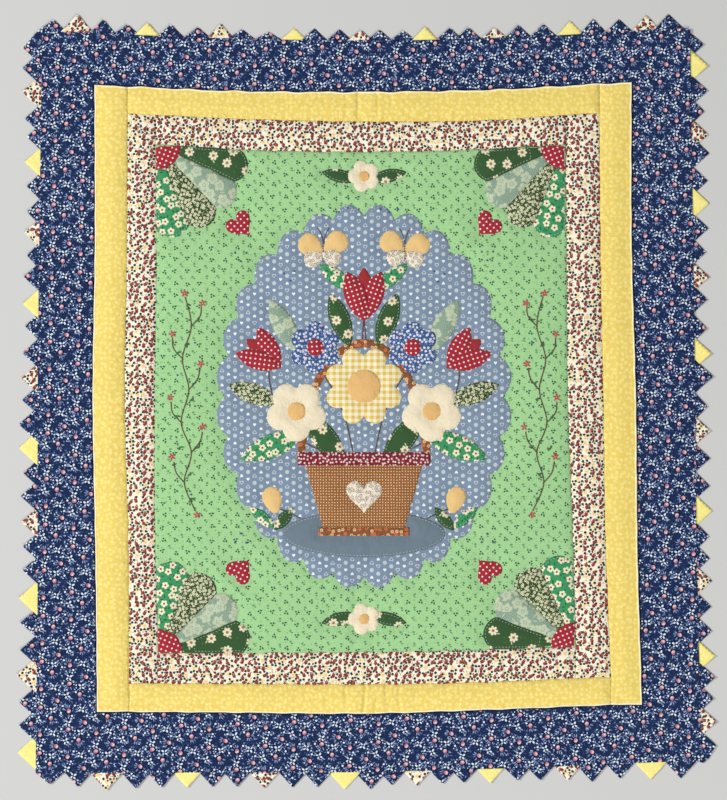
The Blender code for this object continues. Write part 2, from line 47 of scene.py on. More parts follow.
# Driving sizes of the patchwork, before its seams wander
PANEL_WIDTH = 664 * MM
PANEL_HEIGHT = 806 * MM
DITSY_STRIP = 50 * MM
YELLOW_STRIP = 48 * MM
NAVY_STRIP = 86 * MM
ROOT_STRIP = 6 * MM

# Heights above the surface on which the quilt lies
SEAM_HEIGHT = 3.6 * MM
LOFT = 3.4 * MM
LOFT_REACH = 13 * MM
NAVY_HEIGHT = 2.2 * MM
NAVY_RIPPLE = 0.7 * MM
NAVY_FOLD = 1.9 * MM            # depth of the fold beside the yellow border
EDGE_ROUND = 5 * MM
PAINTED_HIGHLIGHT_WIDTH = 2.4 * MM            # width of the highlight painted on the turned edge at the outside of the yellow border
PATCH_LAYER = 0.5 * MM          # each layer of cloth that is sewn on
PATCH_FOOT = 1.6 * MM           # the patches' walls end inside the panel, at this height
PATCH_FOLDS = (0.5 * MM, 0.9 * MM)
PATCH_ROUND = 1.3 * MM          # over this width a patch's edge drops, by this much
PATCH_DROP = 0.45 * MM
DRAPE_REACH = 3.2 * MM          # a patch rises this far before the edges of those below it
NIP_DEPTH = 1.1 * MM            # how deep and how wide a seam draws the filled cloths in
NIP_WIDTH = 1.5 * MM
STITCH_SOFTNESS = 1.6 * MM      # nearer to a stitch than this, the filling rises slowly
DRAWN_REACH = 7 * MM            # how far from its stitches a cloth looks pulled and has shade painted on it
BELOW = -1.0                    # marks the underside's points until a piece is laid

# Prairie points
POINT_SPREAD = 0.92             # half of a point's base, as a part of its reach
LEAST_HALF_BASE = 21 * MM
LEAST_NOTCH = 4 * MM            # a point whose foot is nearer to a corner reaches it
POINT_STEP = 1.3 * MM           # each point's first foot lies this much higher than its last one
TUCKED_REACH = 1.5 * MM         # up to this far outside its base line, a point is pressed flat
TUCKED_HEIGHT = 1.3 * MM
POINT_RIM = 0.35 * MM           # thickness of a point at its edge, and what its folded cloth adds
POINT_PUFF = 0.75 * MM
POINT_ROUND = 1.6 * MM
POINT_FOLDS = (0.4 * MM, 0.8 * MM)
TIP_ROUND = 0.7 * MM            # how much the fold takes off a point's tip
POINT_CLOTHS = {"navy": "navy", "yellow": "lemon", "flowered": "ditsy"}

SIDES = ("left", "right", "bottom", "top")
LEVEL_SIDES = ("bottom", "top")
OUTWARD = {"left": -1, "right": 1, "bottom": -1, "top": 1}

FRAME_MARGINS = {
    "panel": 0.0,
    "ditsy": DITSY_STRIP,
    "yellow": DITSY_STRIP + YELLOW_STRIP,
    "navy": DITSY_STRIP + YELLOW_STRIP + NAVY_STRIP,
    "points": DITSY_STRIP + YELLOW_STRIP + NAVY_STRIP + ROOT_STRIP,
}

# How far each seam line lies outside its straight place, in mm, at five even stations:
# left to right on the top and bottom lines, top to bottom on the sides
WANDER = {
    "panel": {
        "top": (5.5, -3.8, -6.2, -3, 6),
        "bottom": (2.5, 1.4, 0, -2.6, -7.5),
        "left": (1, -0.3, 2.2, 2.2, -2.5),
        "right": (-9, -7.6, -5.8, 1.6, 6.8),
    },
    "ditsy": {
        "top": (4.5, -3.8, -7.8, -6, 5.8),
        "bottom": (0, 1.1, 1.8, -1.5, -9.5),
        "left": (-4, -3, 0.5, -5.5, -6.5),
        "right": (-5.5, -3.6, 0.8, 4.3, 12.9),
    },
    "yellow": {
        "top": (2.3, -6.6, -8.2, -4.4, 7),
        "bottom": (-2.5, -1.2, 0.5, -6.2, -14),
        "left": (1, 0.5, 4, -0.5, -3),
        "right": (-2, -1.7, 5, 7.6, 14.6),
    },
    "navy": {
        "top": (-3, -13, -18, -12, 2),
        "bottom": (4, 3, 2, -5, -15),
        "left": (-7, -3, 0, 0, 3),
        "right": (0, 4, 8, 11, 19),
    },
}
WANDER["points"] = WANDER["navy"]

# Soft troughs and sharper creases left by folding. Columns, in mm: x and y of one end, x and y of
# the other, depth, half width
CREASES = (
    (-6, 505, 2, 330, 1.1, 8),
    (-16, -450, -12, -180, 1.0, 8),
    (12, -450, 8, -230, 1.2, 8),
    (28, -430, 24, -320, 0.8, 7),
    (4, -452, -1, -500, 2.3, 2.4),
    (-30, -456, -30, -499, 1.2, 2.2),
    (20, -474, 17, -499, 1.3, 2.1),
    (34, -454, 36, -484, 1.3, 2.1),
    (56, -456, 56, -490, 0.9, 2.6),
    (-58, -460, -60, -486, 0.8, 2.6),
    (-10, 494, -11, 452, 1.5, 2.4),
    (22, 486, 21, 452, 1.2, 2.2),
    (-29, 486, -29, 458, 0.8, 2.2),
    (44, 488, 45, 470, 0.7, 2.4),
)
CREASE_SWAY = 0.3               # how far a crease sways to its sides, for its half width
CREASE_WAVE = 31 * MM

# How far the seams that a hand has sewn ripple, in mm
SEAM_RIPPLES = {
    ("yellow", "top"): 0.7, ("yellow", "bottom"): 0.4, ("yellow", "left"): 0.25, ("yellow", "right"): 0.25,
    ("ditsy", "top"): 0.35, ("ditsy", "bottom"): 0.5, ("ditsy", "left"): 0.3, ("ditsy", "right"): 0.3,
    ("panel", "top"): 0.35, ("panel", "bottom"): 0.6, ("panel", "left"): 0.3, ("panel", "right"): 0.3,
}
LONG_RIPPLE = 0.0113
SHORT_RIPPLE = 0.0061
LINE_STEP = 2 * MM              # between the places that mark a stitched line
LINE_OVERRUN = 10 * MM          # how far the marked lines of the panel's seams pass its corners

# Prairie points along each side, from left to right or from top to bottom. The first coloured one,
# its colour, then each tip's place along the side and its reach outside the base line; in mm
POINT_ROWS = {
    "top": (1, "flowered", (
        -496, -458, -417, -379, -346, -309, -266, -229, -195, -152, -111, -79, -39, -5, 25, 63, 98,
        137, 167, 209, 247, 287, 330, 367, 408, 452, 487,
    ), (
        19, 29, 22, 16, 20, 19, 16, 23, 15, 12, 19, 19, 18, 17, 17, 15, 21, 18, 18, 16, 19, 19, 22, 23,
        20, 24, 24,
    )),
    "bottom": (2, "flowered", (
        -502, -457, -412, -365, -324, -283, -242, -203, -159, -114, -74, -31, 11, 45, 85, 126, 160,
        202, 246, 282, 326, 365, 410, 459, 507,
    ), (
        18, 22, 28, 25, 24, 24, 23, 23, 25, 24, 24, 28, 28, 22, 24, 22, 21, 23, 20, 21, 23, 27, 24, 27,
        27,
    )),
    "left": (2, "flowered", (
        563, 531, 493, 450, 421, 381, 342, 301, 268, 231, 197, 154, 118, 75, 35, 0, -39, -77, -117,
        -154, -195, -234, -272, -317, -356, -400, -440, -483, -521, -564,
    ), (
        30, 31, 31, 26, 22, 25, 21, 20, 24, 19, 24, 25, 21, 25, 26, 25, 30, 30, 23, 27, 26, 24, 24, 30,
        27, 27, 32, 28, 28, 30,
    )),
    "right": (1, "yellow", (
        569, 535, 495, 462, 425, 395, 351, 315, 275, 237, 197, 161, 115, 75, 38, -10, -49, -93, -137,
        -177, -218, -253, -289, -330, -369, -409, -443, -477, -514, -552,
    ), (
        21, 28, 27, 21, 27, 28, 25, 27, 25, 20, 25, 21, 20, 27, 29, 19, 24, 23, 22, 26, 21, 21, 24, 22,
        22, 26, 25, 21, 25, 23,
    )),
}
COLOURED_EVERY = 3
# Each side's own ends, clockwise round the quilt
CLOCKWISE = {
    "top": ("left", "right"),
    "right": ("top", "bottom"),
    "bottom": ("right", "left"),
    "left": ("bottom", "top"),
}

# How the folded cloth rounds the corners, in mm: how far the outer corner lies outside the side's
# base line and outside the row's own one, and how far the join with the side's row reaches out
CORNERS = {
    ("top", "left"): (2.4, 3.7, 13),
    ("top", "right"): (-11.7, 1, -2.2),
    ("bottom", "left"): (0, 0, 0),
    ("bottom", "right"): (1.6, 2.4, 12),
}

# Appliqué patches of the centre, from the lowest up: a basket of flowers on a scalloped oval.
# Columns: shape, x, y, turn in degrees, length, width, detail of the shape, mirrored twin, cloth; in mm
PATCHES = (
    ("scallops", 0, 6, 0, 474, 616, 28, False, "sky"),
    ("egg", 0, -214, 0, 262, 76, 0, False, "slate"),
    ("arch", 0, -98, 0, 214, 196, 14, False, "rust"),
    ("leaf", 62, -62, 52, 104, 40, 0, True, "daisy"),
    ("leaf", 148, -74, -22, 108, 40, 0, True, "bright_green"),
    ("leaf", 176, 10, 20, 86, 34, 0, True, "dense"),
    ("leaf", 128, 118, 62, 96, 36, 0, True, "sage"),
    ("leaf", 38, 128, 70, 92, 34, 0, True, "daisy"),
    ("leaf", 44, 196, 38, 70, 26, 0, True, "bright_green"),
    ("band", 0, -152, 0, 192, 110, 130, False, "brown_dot"),
    ("band", 0, -210, 0, 146, 14, 146, False, "rust"),
    ("band", 0, -94, 0, 212, 22, 212, False, "dark_red"),
    ("heart", 0, -156, 0, 58, 54, 0, False, "cream_floral"),
    ("flower", 108, -18, 18, 98, 98, 5, True, "cream"),
    ("egg", 108, -18, 0, 30, 30, 0, True, "orange"),
    ("flower", 78, 84, 0, 84, 84, 6, True, "blue_calico"),
    ("egg", 78, 84, 0, 28, 28, 0, True, "red_dot"),
    ("flower", 0, 22, 0, 128, 128, 8, False, "gingham"),
    ("egg", 0, 22, 0, 54, 54, 0, False, "orange"),
    ("leaf", 160, 74, 40, 74, 30, 0, True, "plain_red"),
    ("leaf", 152, 84, 62, 74, 32, 0, True, "red_dot"),
    ("leaf", 170, 64, 18, 74, 32, 0, True, "red_dot"),
    ("leaf", 0, 170, 90, 84, 34, 0, False, "plain_red"),
    ("leaf", 13, 166, 70, 84, 36, 0, True, "red_dot"),
    ("egg", 146, -160, 75, 44, 30, 0.3, True, "tan"),
    ("leaf", 162, -188, 40, 52, 20, 0, True, "bright_green"),
    ("leaf", 128, -190, 130, 48, 20, 0, True, "daisy"),
    ("egg", 84, 246, 35, 44, 34, 0.35, True, "tan"),
    ("egg", 46, 250, 140, 44, 34, 0.35, True, "tan"),
    ("egg", 80, 226, -25, 32, 26, 0.3, True, "cream_floral"),
    ("egg", 52, 228, 205, 32, 26, 0.3, True, "cream_floral"),
    ("heart", 196, 278, -40, 44, 42, 0, True, "red_dot"),
    ("heart", 196, -270, 220, 44, 42, 0, True, "red_dot"),
    ("leaf", 38, 358, 12, 62, 22, 0, True, "daisy"),
    ("flower", 0, 358, 0, 52, 52, 5, False, "cream"),
    ("egg", 0, 358, 0, 18, 18, 0, False, "orange"),
    ("leaf", 38, -350, -12, 62, 22, 0, True, "daisy"),
    ("flower", 0, -350, 0, 52, 52, 5, False, "cream"),
    ("egg", 0, -350, 0, 18, 18, 0, False, "orange"),
)

# The pieced fans in the panel's corners
FAN_RADIUS = 150 * MM
FAN_HUB = 40 * MM
FAN_LOBE = 14 * MM
FAN_CLOTHS = ("daisy", "sage", "dense", "bright_green")

# How finely the patches' outlines are drawn, and the shapes of their lobes and ends
LOBE_STEPS = 8
OUTLINE_STEPS = 36
ARCH_STEPS = 24
FAN_STEPS = 8
BLADE_STEPS = 5
LOBE_FULLNESS = 0.8
SCALLOP_DEPTH = 0.06
PETAL_DEPTH = 0.24
LEAF_SHARPNESS = 0.85
EGG_SHARPNESS = 0.5

# Cloths whose patches carry a row of white running stitches inside their edges
QUILTED_CLOTHS = ("daisy", "slate", "dense", "sage", "bright_green")
STITCH_PITCH = 5.3 * MM
STITCH_INSET = 3.4 * MM
OVAL_INSET = 4.5 * MM
FEWEST_CORNERS = 6              # a row with fewer corners than this isn't worth sewing

# Embroidered stems, in mm: places that a stem passes, from its root; each has a mirrored twin
STEMS = (
    ((18, -82), (30, -30), (52, 20), (72, 50)),
    ((62, -84), (96, -66), (132, -30), (150, 24), (152, 52)),
    ((3, 84), (2, 108), (0, 130)),
    ((96, -192), (124, -178), (140, -174)),
    ((270, -176), (287, -132), (276, -84), (292, -36), (280, 16), (290, 66), (276, 118), (286, 166)),
    ((287, -132), (300, -116), (304, -98)),
    ((276, -84), (262, -66), (258, -50)),
    ((292, -36), (306, -20), (308, -2)),
    ((280, 16), (266, 34), (262, 52)),
    ((290, 66), (304, 82), (306, 100)),
    ((276, 118), (262, 134), (260, 150)),
)
STITCHED_FLOWERS = (
    (306, -92), (257, -44), (309, 4), (261, 58), (307, 106), (259, 156), (288, 172), (268, -182),
)
KNOTS = (
    (283, -110), (300, -60), (270, -10), (298, 40), (270, 92), (296, 140), (276, -150),
    (188, 236), (206, 236), (197, 222), (188, -228), (206, -228), (197, -214),
    (40, 300), (26, 306), (54, 306), (118, 190), (128, 202), (112, 206),
)
SMALL_LEAVES = (
    (280, -120, 140), (296, -78, 30), (266, -76, 150), (299, -28, 50), (276, 0, 130), (272, 26, 160),
    (298, 74, 40), (284, 88, 60), (268, 126, 150), (282, 150, 70), (276, -160, 60),
)

# The butterflies' bodies and feelers, in mm from the panel's middle; each has a mirrored twin
BUTTERFLY_MIDDLE = 65
BODY_LOW = 222
BODY_STEP = 4
BODY_STITCHES = 9
FEELERS = ((0, 252), (4, 266), (10, 276))

STEM_STITCH = 2.4 * MM
CURVE_STEPS = 24                # places worked out on a curve for each one that is given
STEM_LEAN = 0.16
PETALS_EACH = 5
PETAL_REACH = 3.5 * MM
SECOND_LEAF = (2.6 * MM, 2.2 * MM)

THREADS = {
    "white_quilting_thread": (236, 234, 222),
    "brown_embroidery_thread": (98, 62, 44),
    "pink_embroidery_thread": (206, 74, 96),
    "gold_embroidery_thread": (224, 178, 78),
    "blue_embroidery_thread": (62, 88, 156),
    "green_embroidery_thread": (66, 112, 62),
}
# Each kind of stitch: its thread, then its length, width and rise in mm
STITCHES = {
    "running_stitches": ("white_quilting_thread", 3.0, 0.75, 0.6),
    "stitched_stems": ("brown_embroidery_thread", 4.6, 2.1, 1.3),
    "butterfly_bodies": ("brown_embroidery_thread", 4.6, 1.6, 1.2),
    "stitched_petals": ("pink_embroidery_thread", 6.0, 3.2, 1.5),
    "stitched_centres": ("gold_embroidery_thread", 3.0, 3.0, 2.0),
    "blue_knots": ("blue_embroidery_thread", 3.8, 3.5, 2.2),
    "stitched_leaves": ("green_embroidery_thread", 7.6, 3.2, 1.4),
}

# The borders from the inside out: their inner and outer lines, their cloth and the size of its cells
BORDERS = (
    ("panel", "ditsy", "ditsy", 3.2 * MM),
    ("ditsy", "yellow", "yellow", 2.1 * MM),
    ("yellow", "points", "navy", 4.0 * MM),
)
PANEL_CELL = 2.9 * MM
PATCH_CELL = 4.2 * MM
POINT_CELL = 4.5 * MM
# Distances from a cloth's edge at which its cells are narrow
EDGE_STATIONS = [0.0, 0.5 * MM, 1.1 * MM, 1.9 * MM, 2.9 * MM, 4.1 * MM, 5.6 * MM, 7.6 * MM]

PRINT_START = 2.0               # the prints are counted from this far left of and below the middle

FLOOR_HALF = 15.0
FLOOR_GAP = 0.2 * MM
FLOOR_PAINT = (0.62, 0.62, 0.61, 1)
SKY_LIGHT = (1.0, 0.99, 0.97, 1)
SKY_STRENGTH = 0.36
CAMERA_PLACE = (-0.8 * MM, 0.0, 4.0)
# Each light's place, width and power; both look at the middle of the quilt
LIGHTS = (
    ("key_light", (-6.4, 1.0, 3.9), 1.8, 448.0),
    ("fill_light", (2.6, -5.4, 4.2), 4.0, 255.0),
)


# Numbers and lines, for whole rows of places at once

def mix(low, high, part):
    return low + (high - low) * part


def curve_through(values, part):
    """A smooth curve through evenly spaced values, held level beyond both ends."""
    values = np.asarray(values, float)
    place = np.clip(part, 0.0, 1.0) * (len(values) - 1)
    left = np.minimum(np.asarray(place).astype(int), len(values) - 2)
    start, end = values[left], values[left + 1]
    start_slope = (end - values[np.maximum(left - 1, 0)]) / 2
    end_slope = (values[np.minimum(left + 2, len(values) - 1)] - start) / 2
    t = place - left
    return (
        start * (1 + 2 * t) * (1 - t) ** 2
        + start_slope * t * (1 - t) ** 2
        + end * t * t * (3 - 2 * t)
        - end_slope * t * t * (1 - t)
    )


def seam(line, along):
    """Where a seam line lies, at places along it: y for top and bottom, x for left and right."""
    rectangle, side = line
    half_width = PANEL_WIDTH / 2 + FRAME_MARGINS[rectangle]
    half_height = PANEL_HEIGHT / 2 + FRAME_MARGINS[rectangle]
    if side in LEVEL_SIDES:
        out, part = half_height, 0.5 + along / (2 * half_width)
    else:
        out, part = half_width, 0.5 - along / (2 * half_height)
    out = out + curve_through(WANDER[rectangle][side], part) * MM
    ripple = np.sin(along / LONG_RIPPLE + half_width * 90)
    ripple = ripple + 0.6 * np.sin(along / SHORT_RIPPLE + half_height * 70)
    out = out + SEAM_RIPPLES.get((rectangle, side), 0.0) * MM * ripple
    return OUTWARD[side] * out


def inside_of(line, x, y):
    """How far places lie inside a seam line, towards the middle of the quilt."""
    side = line[1]
    along, away = (x, y) if side in LEVEL_SIDES else (y, x)
    return np.abs(seam(line, along)) - away * OUTWARD[side]


def from_seams(lines, x, y):
    """Distances of places from the nearest of some seam lines."""
    return np.min([np.abs(inside_of(line, x, y)) for line in lines], axis=0)


def places_between(bounds, across, up):
    """The places at given parts of the way from the left to the right and the bottom to the top line."""
    left, right, bottom, top = bounds
    x = mix(seam(left, 0.0), seam(right, 0.0), across)
    for _ in range(3):
        y = mix(seam(bottom, x) + GAP / 2, seam(top, x) - GAP / 2, up)
        x = mix(seam(left, y) + GAP / 2, seam(right, y) - GAP / 2, across)
    return x, y


def grain(x, y, size, seed=0.0):
    """Smooth unevenness, about from -1 to 1, with features of a given size."""
    return np.array([noise.noise((u, v, seed)) for u, v in zip(x / size, y / size)])


def uneven(index, seed):
    """A repeatable number from -1 to 1, for what differs from one piece to the next."""
    return math.sin(12.9898 * index + 4.1414 * seed)


def bell(distance, width):
    """1 on a line, falling to 0 beside it as a bell does."""
    return np.exp(-(distance / width) ** 2)


def fading(distance, reach):
    """1 on a line, fading away from it."""
    return np.exp(-distance / reach)


def rounded_rise(distance, radius):
    """From 0 at an edge to 1, as a quarter of a circle rises."""
    return np.sqrt(1 - (1 - np.clip(distance / radius, 0.0, 1.0)) ** 2)


def x_and_y(places):
    """The x values and the y values of some places."""
    return np.array([place[0] for place in places]), np.array([place[1] for place in places])


def full_turn(steps):
    """Even angles once round."""
    return [2 * math.pi * step / steps for step in range(steps)]


def arc(end, steps):
    """Even angles from 0 to an end, with both of them."""
    return [end * step / steps for step in range(steps + 1)]


# Outlines of the patches, around their own middles

def lobed(length, width, lobes, depth):
    outline = []
    for angle in full_turn(lobes * LOBE_STEPS):
        reach = 1 - depth + depth * abs(math.sin(lobes * angle / 2)) ** LOBE_FULLNESS
        outline.append((length / 2 * reach * math.cos(angle), width / 2 * reach * math.sin(angle)))
    return outline


def rounded(length, width, taper, sharpness):
    outline = []
    for angle in full_turn(OUTLINE_STEPS):
        along = math.cos(angle)
        half = width / 2 * max(0.0, 1 - along * along) ** sharpness * (1 + taper * along)
        outline.append((length / 2 * along, math.copysign(half, math.sin(angle))))
    return outline


def heart(length, width):
    outline = []
    for angle in full_turn(OUTLINE_STEPS):
        x = 16 * math.sin(angle) ** 3
        y = 13 * math.cos(angle) - 5 * math.cos(2 * angle) - 2 * math.cos(3 * angle) - math.cos(4 * angle)
        outline.append((length * x / 32, width * (y + 2.5) / 29))
    return outline


def band(top_width, height, bottom_width):
    top, bottom, half = top_width / 2, bottom_width / 2, height / 2
    return [(-bottom, -half), (bottom, -half), (top, half), (-top, half)]


def arch(width, height, thickness):
    angles = arc(math.pi, ARCH_STEPS)
    outer = [(width / 2 * math.cos(a), height * math.sin(a)) for a in angles]
    inner = [((width / 2 - thickness) * math.cos(a), (height - thickness) * math.sin(a)) for a in angles]
    return outer + inner[::-1]


def patch_outline(shape, length, width, detail):
    if shape == "scallops":
        return lobed(length, width, detail, SCALLOP_DEPTH)
    if shape == "flower":
        return lobed(length, width, detail, PETAL_DEPTH)
    if shape == "leaf":
        return rounded(length, width, 0, LEAF_SHARPNESS)
    if shape == "egg":
        return rounded(length, width, detail, EGG_SHARPNESS)
    if shape == "heart":
        return heart(length, width)
    if shape == "band":
        return band(length, width, detail)
    return arch(length, width, detail)


def fan_blade(index):
    """One blade of a fan, as distances from the two seams that meet at its hub."""
    start = math.pi / 2 * index / len(FAN_CLOTHS)
    end = math.pi / 2 * (index + 1) / len(FAN_CLOTHS)
    shoulder = FAN_RADIUS - FAN_LOBE
    polar = []
    for step in range(FAN_STEPS + 1):
        lobe = FAN_LOBE * math.sin(math.pi * step / FAN_STEPS) ** LOBE_FULLNESS
        polar.append((mix(start, end, step / FAN_STEPS), shoulder + lobe))
    reaches = [mix(FAN_HUB, shoulder, step / BLADE_STEPS) for step in range(BLADE_STEPS)]
    polar += [(end, reach) for reach in reversed(reaches)] + [(start, reach) for reach in reaches]
    return [(reach * math.cos(angle), reach * math.sin(angle)) for angle, reach in polar]


def fan_hub():
    angles = arc(math.pi / 2, FAN_STEPS)
    return [(0.0, 0.0)] + [(FAN_HUB * math.cos(a), FAN_HUB * math.sin(a)) for a in angles]


def in_corner(outline, left_right, down_up):
    """An outline given as distances from the panel's seams, laid in one of its corners."""
    side = ("panel", "left" if left_right < 0 else "right")
    level = ("panel", "bottom" if down_up < 0 else "top")
    placed = []
    for across, up in outline:
        x, y = left_right * PANEL_WIDTH / 2, down_up * PANEL_HEIGHT / 2
        for _ in range(3):
            x = float(seam(side, y)) - left_right * (across + GAP)
            y = float(seam(level, x)) - down_up * (up + GAP)
        placed.append((x, y))
    return placed if left_right * down_up > 0 else placed[::-1]


def all_patches():
    """Each patch from the lowest up: its outline in place, its cloth and the turn of its grain."""
    patches = []
    for left_right in (-1, 1):
        for down_up in (-1, 1):
            for index, cloth in enumerate(FAN_CLOTHS):
                turn = math.radians(45 * index + 20) * left_right * down_up
                patches.append((in_corner(fan_blade(index), left_right, down_up), cloth, turn))
            patches.append((in_corner(fan_hub(), left_right, down_up), "red_dot", 0.4 * left_right))
    for index, (shape, x, y, turn, length, width, detail, twin, cloth) in enumerate(PATCHES):
        turn = math.radians(turn)
        flat = patch_outline(shape, length, width, detail)
        cos, sin = math.cos(turn), math.sin(turn)
        outline = [((x + u * cos - v * sin) * MM, (y + u * sin + v * cos) * MM) for u, v in flat]
        patches.append((outline, cloth, turn))
        if twin:
            patches.append(([(-u, v) for u, v in outline][::-1], cloth, -turn + 0.3 * uneven(index, 3)))
    return patches


PATCHWORK = all_patches()
OVAL = next(index for index, (_, cloth, _) in enumerate(PATCHWORK) if cloth == "sky")
PATCH_BOXES = [(*np.min(outline, axis=0), *np.max(outline, axis=0)) for outline, _, _ in PATCHWORK]


def are_within(outline, x, y):
    """Which places lie inside a closed outline."""
    inside = np.zeros(len(x), bool)
    for (x1, y1), (x2, y2) in zip(outline, outline[1:] + outline[:1]):
        if y1 != y2:
            crosses = ((y1 > y) != (y2 > y)) & (x < x1 + (y - y1) * (x2 - x1) / (y2 - y1))
            inside ^= crosses
    return inside


def from_outline(outline, x, y):
    """Distances of places from a closed outline."""
    nearest = np.full(len(x), np.inf)
    for (x1, y1), (x2, y2) in zip(outline, outline[1:] + outline[:1]):
        along_x, along_y = x2 - x1, y2 - y1
        part = ((x - x1) * along_x + (y - y1) * along_y) / max(along_x ** 2 + along_y ** 2, 1e-12)
        part = np.clip(part, 0.0, 1.0)
        nearest = np.minimum(nearest, np.hypot(x - x1 - along_x * part, y - y1 - along_y * part))
    return nearest


def layers_at(x, y, below, margin=0.0):
    """How many of the patches below a given one cover each place, or come within a margin of it."""
    layers = np.zeros(len(x))
    shifts = ((0, 0), (1, 1), (1, -1), (-1, 1), (-1, -1)) if margin else ((0, 0),)
    for (outline, _, _), (low_x, low_y, high_x, high_y) in zip(PATCHWORK[:below], PATCH_BOXES):
        reach = margin + 1e-6
        near = (x > low_x - reach) & (x < high_x + reach) & (y > low_y - reach) & (y < high_y + reach)
        if near.any():
            covered = np.zeros(near.sum(), bool)
            for right, up in shifts:
                covered |= are_within(outline, x[near] + right * margin, y[near] + up * margin)
            layers[near] += covered
    return layers


def along_line(line, step, closed=True):
    """Places along a line, evenly spaced at about a step, each with its direction and distance run."""
    edges = list(zip(line, line[1:] + line[:1])) if closed else list(zip(line, line[1:]))
    total = sum(math.dist(*edge) for edge in edges)
    spacing = total / max(3, round(total / step))
    places = []
    travelled = 0.0
    for start, end in edges:
        length = math.dist(start, end)
        angle = math.atan2(end[1] - start[1], end[0] - start[0])
        while len(places) * spacing < travelled + length - spacing / 100:
            part = (len(places) * spacing - travelled) / length
            place = (mix(start[0], end[0], part), mix(start[1], end[1], part))
            places.append((*place, angle, len(places) * spacing))
        travelled += length
    return places


def not_covered(places, index):
    """Those of some places that no patch above a given one hides."""
    hidden = np.zeros(len(places), bool)
    for outline, _, _ in PATCHWORK[index + 1:]:
        hidden |= are_within(outline, *x_and_y(places))
    return [place for place, covered in zip(places, hidden) if not covered]


# Heights of the face

class DrawnLines:
    """The stitched lines that draw the quilt's layers together."""

    def __init__(self, places):
        self.places = np.array(places)
        self.tree = KDTree(len(places))
        for index, place in enumerate(places):
            self.tree.insert((place[0], place[1], 0), index)
        self.tree.balance()

    def nearest(self, x, y):
        """For places, the distance from the nearest line and how far along that line it is."""
        found = np.array([self.tree.find((u, v, 0))[1] for u, v in zip(x, y)])
        near_x, near_y, angle, run = self.places[found].T[:4]
        cos, sin = np.cos(angle), np.sin(angle)
        beside = np.abs((x - near_x) * sin - (y - near_y) * cos)
        ahead = (x - near_x) * cos + (y - near_y) * sin
        distance = np.where(np.abs(ahead) < 1.3 * MM, beside, np.hypot(x - near_x, y - near_y))
        return distance, run + ahead


def crease_depth(x, y):
    """How far the folds and creases press the face down."""
    depth = np.zeros(len(x))
    for x1, y1, x2, y2, deep, half_width in CREASES:
        along_x, along_y = (x2 - x1) * MM, (y2 - y1) * MM
        part = ((x - x1 * MM) * along_x + (y - y1 * MM) * along_y) / (along_x ** 2 + along_y ** 2)
        part = np.clip(part, 0.0, 1.0)
        sway = CREASE_SWAY * half_width * MM * np.sin(y / CREASE_WAVE + x1)
        off = np.hypot(x + sway - x1 * MM - along_x * part, y - y1 * MM - along_y * part)
        depth += deep * MM * bell(off, half_width * MM)
    return depth


def puffed(x, y, distance, run, seed):
    """Height of a filled face from its distance to the stitches, with the puckers that they draw."""
    soft = np.sqrt(distance ** 2 + STITCH_SOFTNESS ** 2) - STITCH_SOFTNESS
    height = SEAM_HEIGHT + LOFT * (1 - fading(soft, LOFT_REACH))
    fine = grain(run + seed, soft * 0.35, 4.6 * MM, seed)
    broad = grain(run - seed, soft * 0.4, 12 * MM, seed + 3)
    height += 0.55 * MM * fine * fading(soft, 7 * MM) * (1 - fading(soft, 1.2 * MM))
    height += 0.8 * MM * broad * fading(soft, 22 * MM) * (1 - fading(soft, 3 * MM))
    height += 0.45 * MM * grain(x, y, 38 * MM, seed) * (1 - fading(soft, 9 * MM))
    return height - crease_depth(x, y)


def panel_lines():
    """The panel's seams, and the edges of its patches as far as nothing hides them."""
    places = []
    for side in SIDES:
        half = (PANEL_WIDTH if side in LEVEL_SIDES else PANEL_HEIGHT) / 2 + LINE_OVERRUN
        along = np.arange(-half, half, LINE_STEP)
        away = seam(("panel", side), along)
        if side in LEVEL_SIDES:
            places += [(u, v, 0.0, u) for u, v in zip(along, away)]
        else:
            places += [(u, v, math.pi / 2, v) for u, v in zip(away, along)]
    for index, (outline, _, _) in enumerate(PATCHWORK):
        places += not_covered(along_line(outline, LINE_STEP), index)
    return DrawnLines(places)


PANEL_LINES = panel_lines()
PANEL_BOUNDS = tuple(("panel", side) for side in SIDES)


def panel_face(x, y):
    """Height of the centre panel's face, and how close the stitches are, from 0 to 1."""
    distance, run = PANEL_LINES.nearest(x, y)
    height = puffed(x, y, distance, run, 1.7)
    height -= NIP_DEPTH * bell(from_seams(PANEL_BOUNDS, x, y), NIP_WIDTH)
    return height, fading(distance, DRAWN_REACH)


def top_of_patches(x, y):
    """Height of whatever lies uppermost on the centre panel."""
    return panel_face(x, y)[0] + PATCH_LAYER * layers_at(x, y, len(PATCHWORK))


def strip_face(x, y, bounds, upright, seed):
    """Height of a filled border strip, how close its stitches are, and where a highlight is painted on its
    turned outer edge.
    """
    nearest, rim, nip = (np.full(len(x), np.inf) for _ in range(3))
    for line in bounds:
        distance = np.abs(inside_of(line, x, y))
        if line[0] == "yellow":
            rim = np.minimum(rim, distance)
            distance = np.hypot(distance - EDGE_ROUND, 4 * MM)
        else:
            nip = np.minimum(nip, distance)
        nearest = np.minimum(nearest, distance)
    run = y if upright else x
    height = puffed(x, y, nearest, run + seed, seed)
    height -= NIP_DEPTH * bell(nip, NIP_WIDTH)
    height -= 0.5 * MM * bell(rim - 3.2 * MM, 1.2 * MM)
    height += (0.14 if upright else 0.3) * MM * grain(run, np.minimum(rim, nip) * 0.2, 7 * MM, seed + 11)
    height = mix(1.6 * MM, height, rounded_rise(rim, 1.1 * MM))
    # a highlight is painted along the turned outer edge, in a band of uneven width
    turned = PAINTED_HIGHLIGHT_WIDTH * (1 + 0.5 * grain(run, np.zeros(len(x)), 20 * MM, seed + 8))
    return height, fading(nip, DRAWN_REACH), np.clip((turned - rim) / (0.6 * MM), 0.0, 1.0)


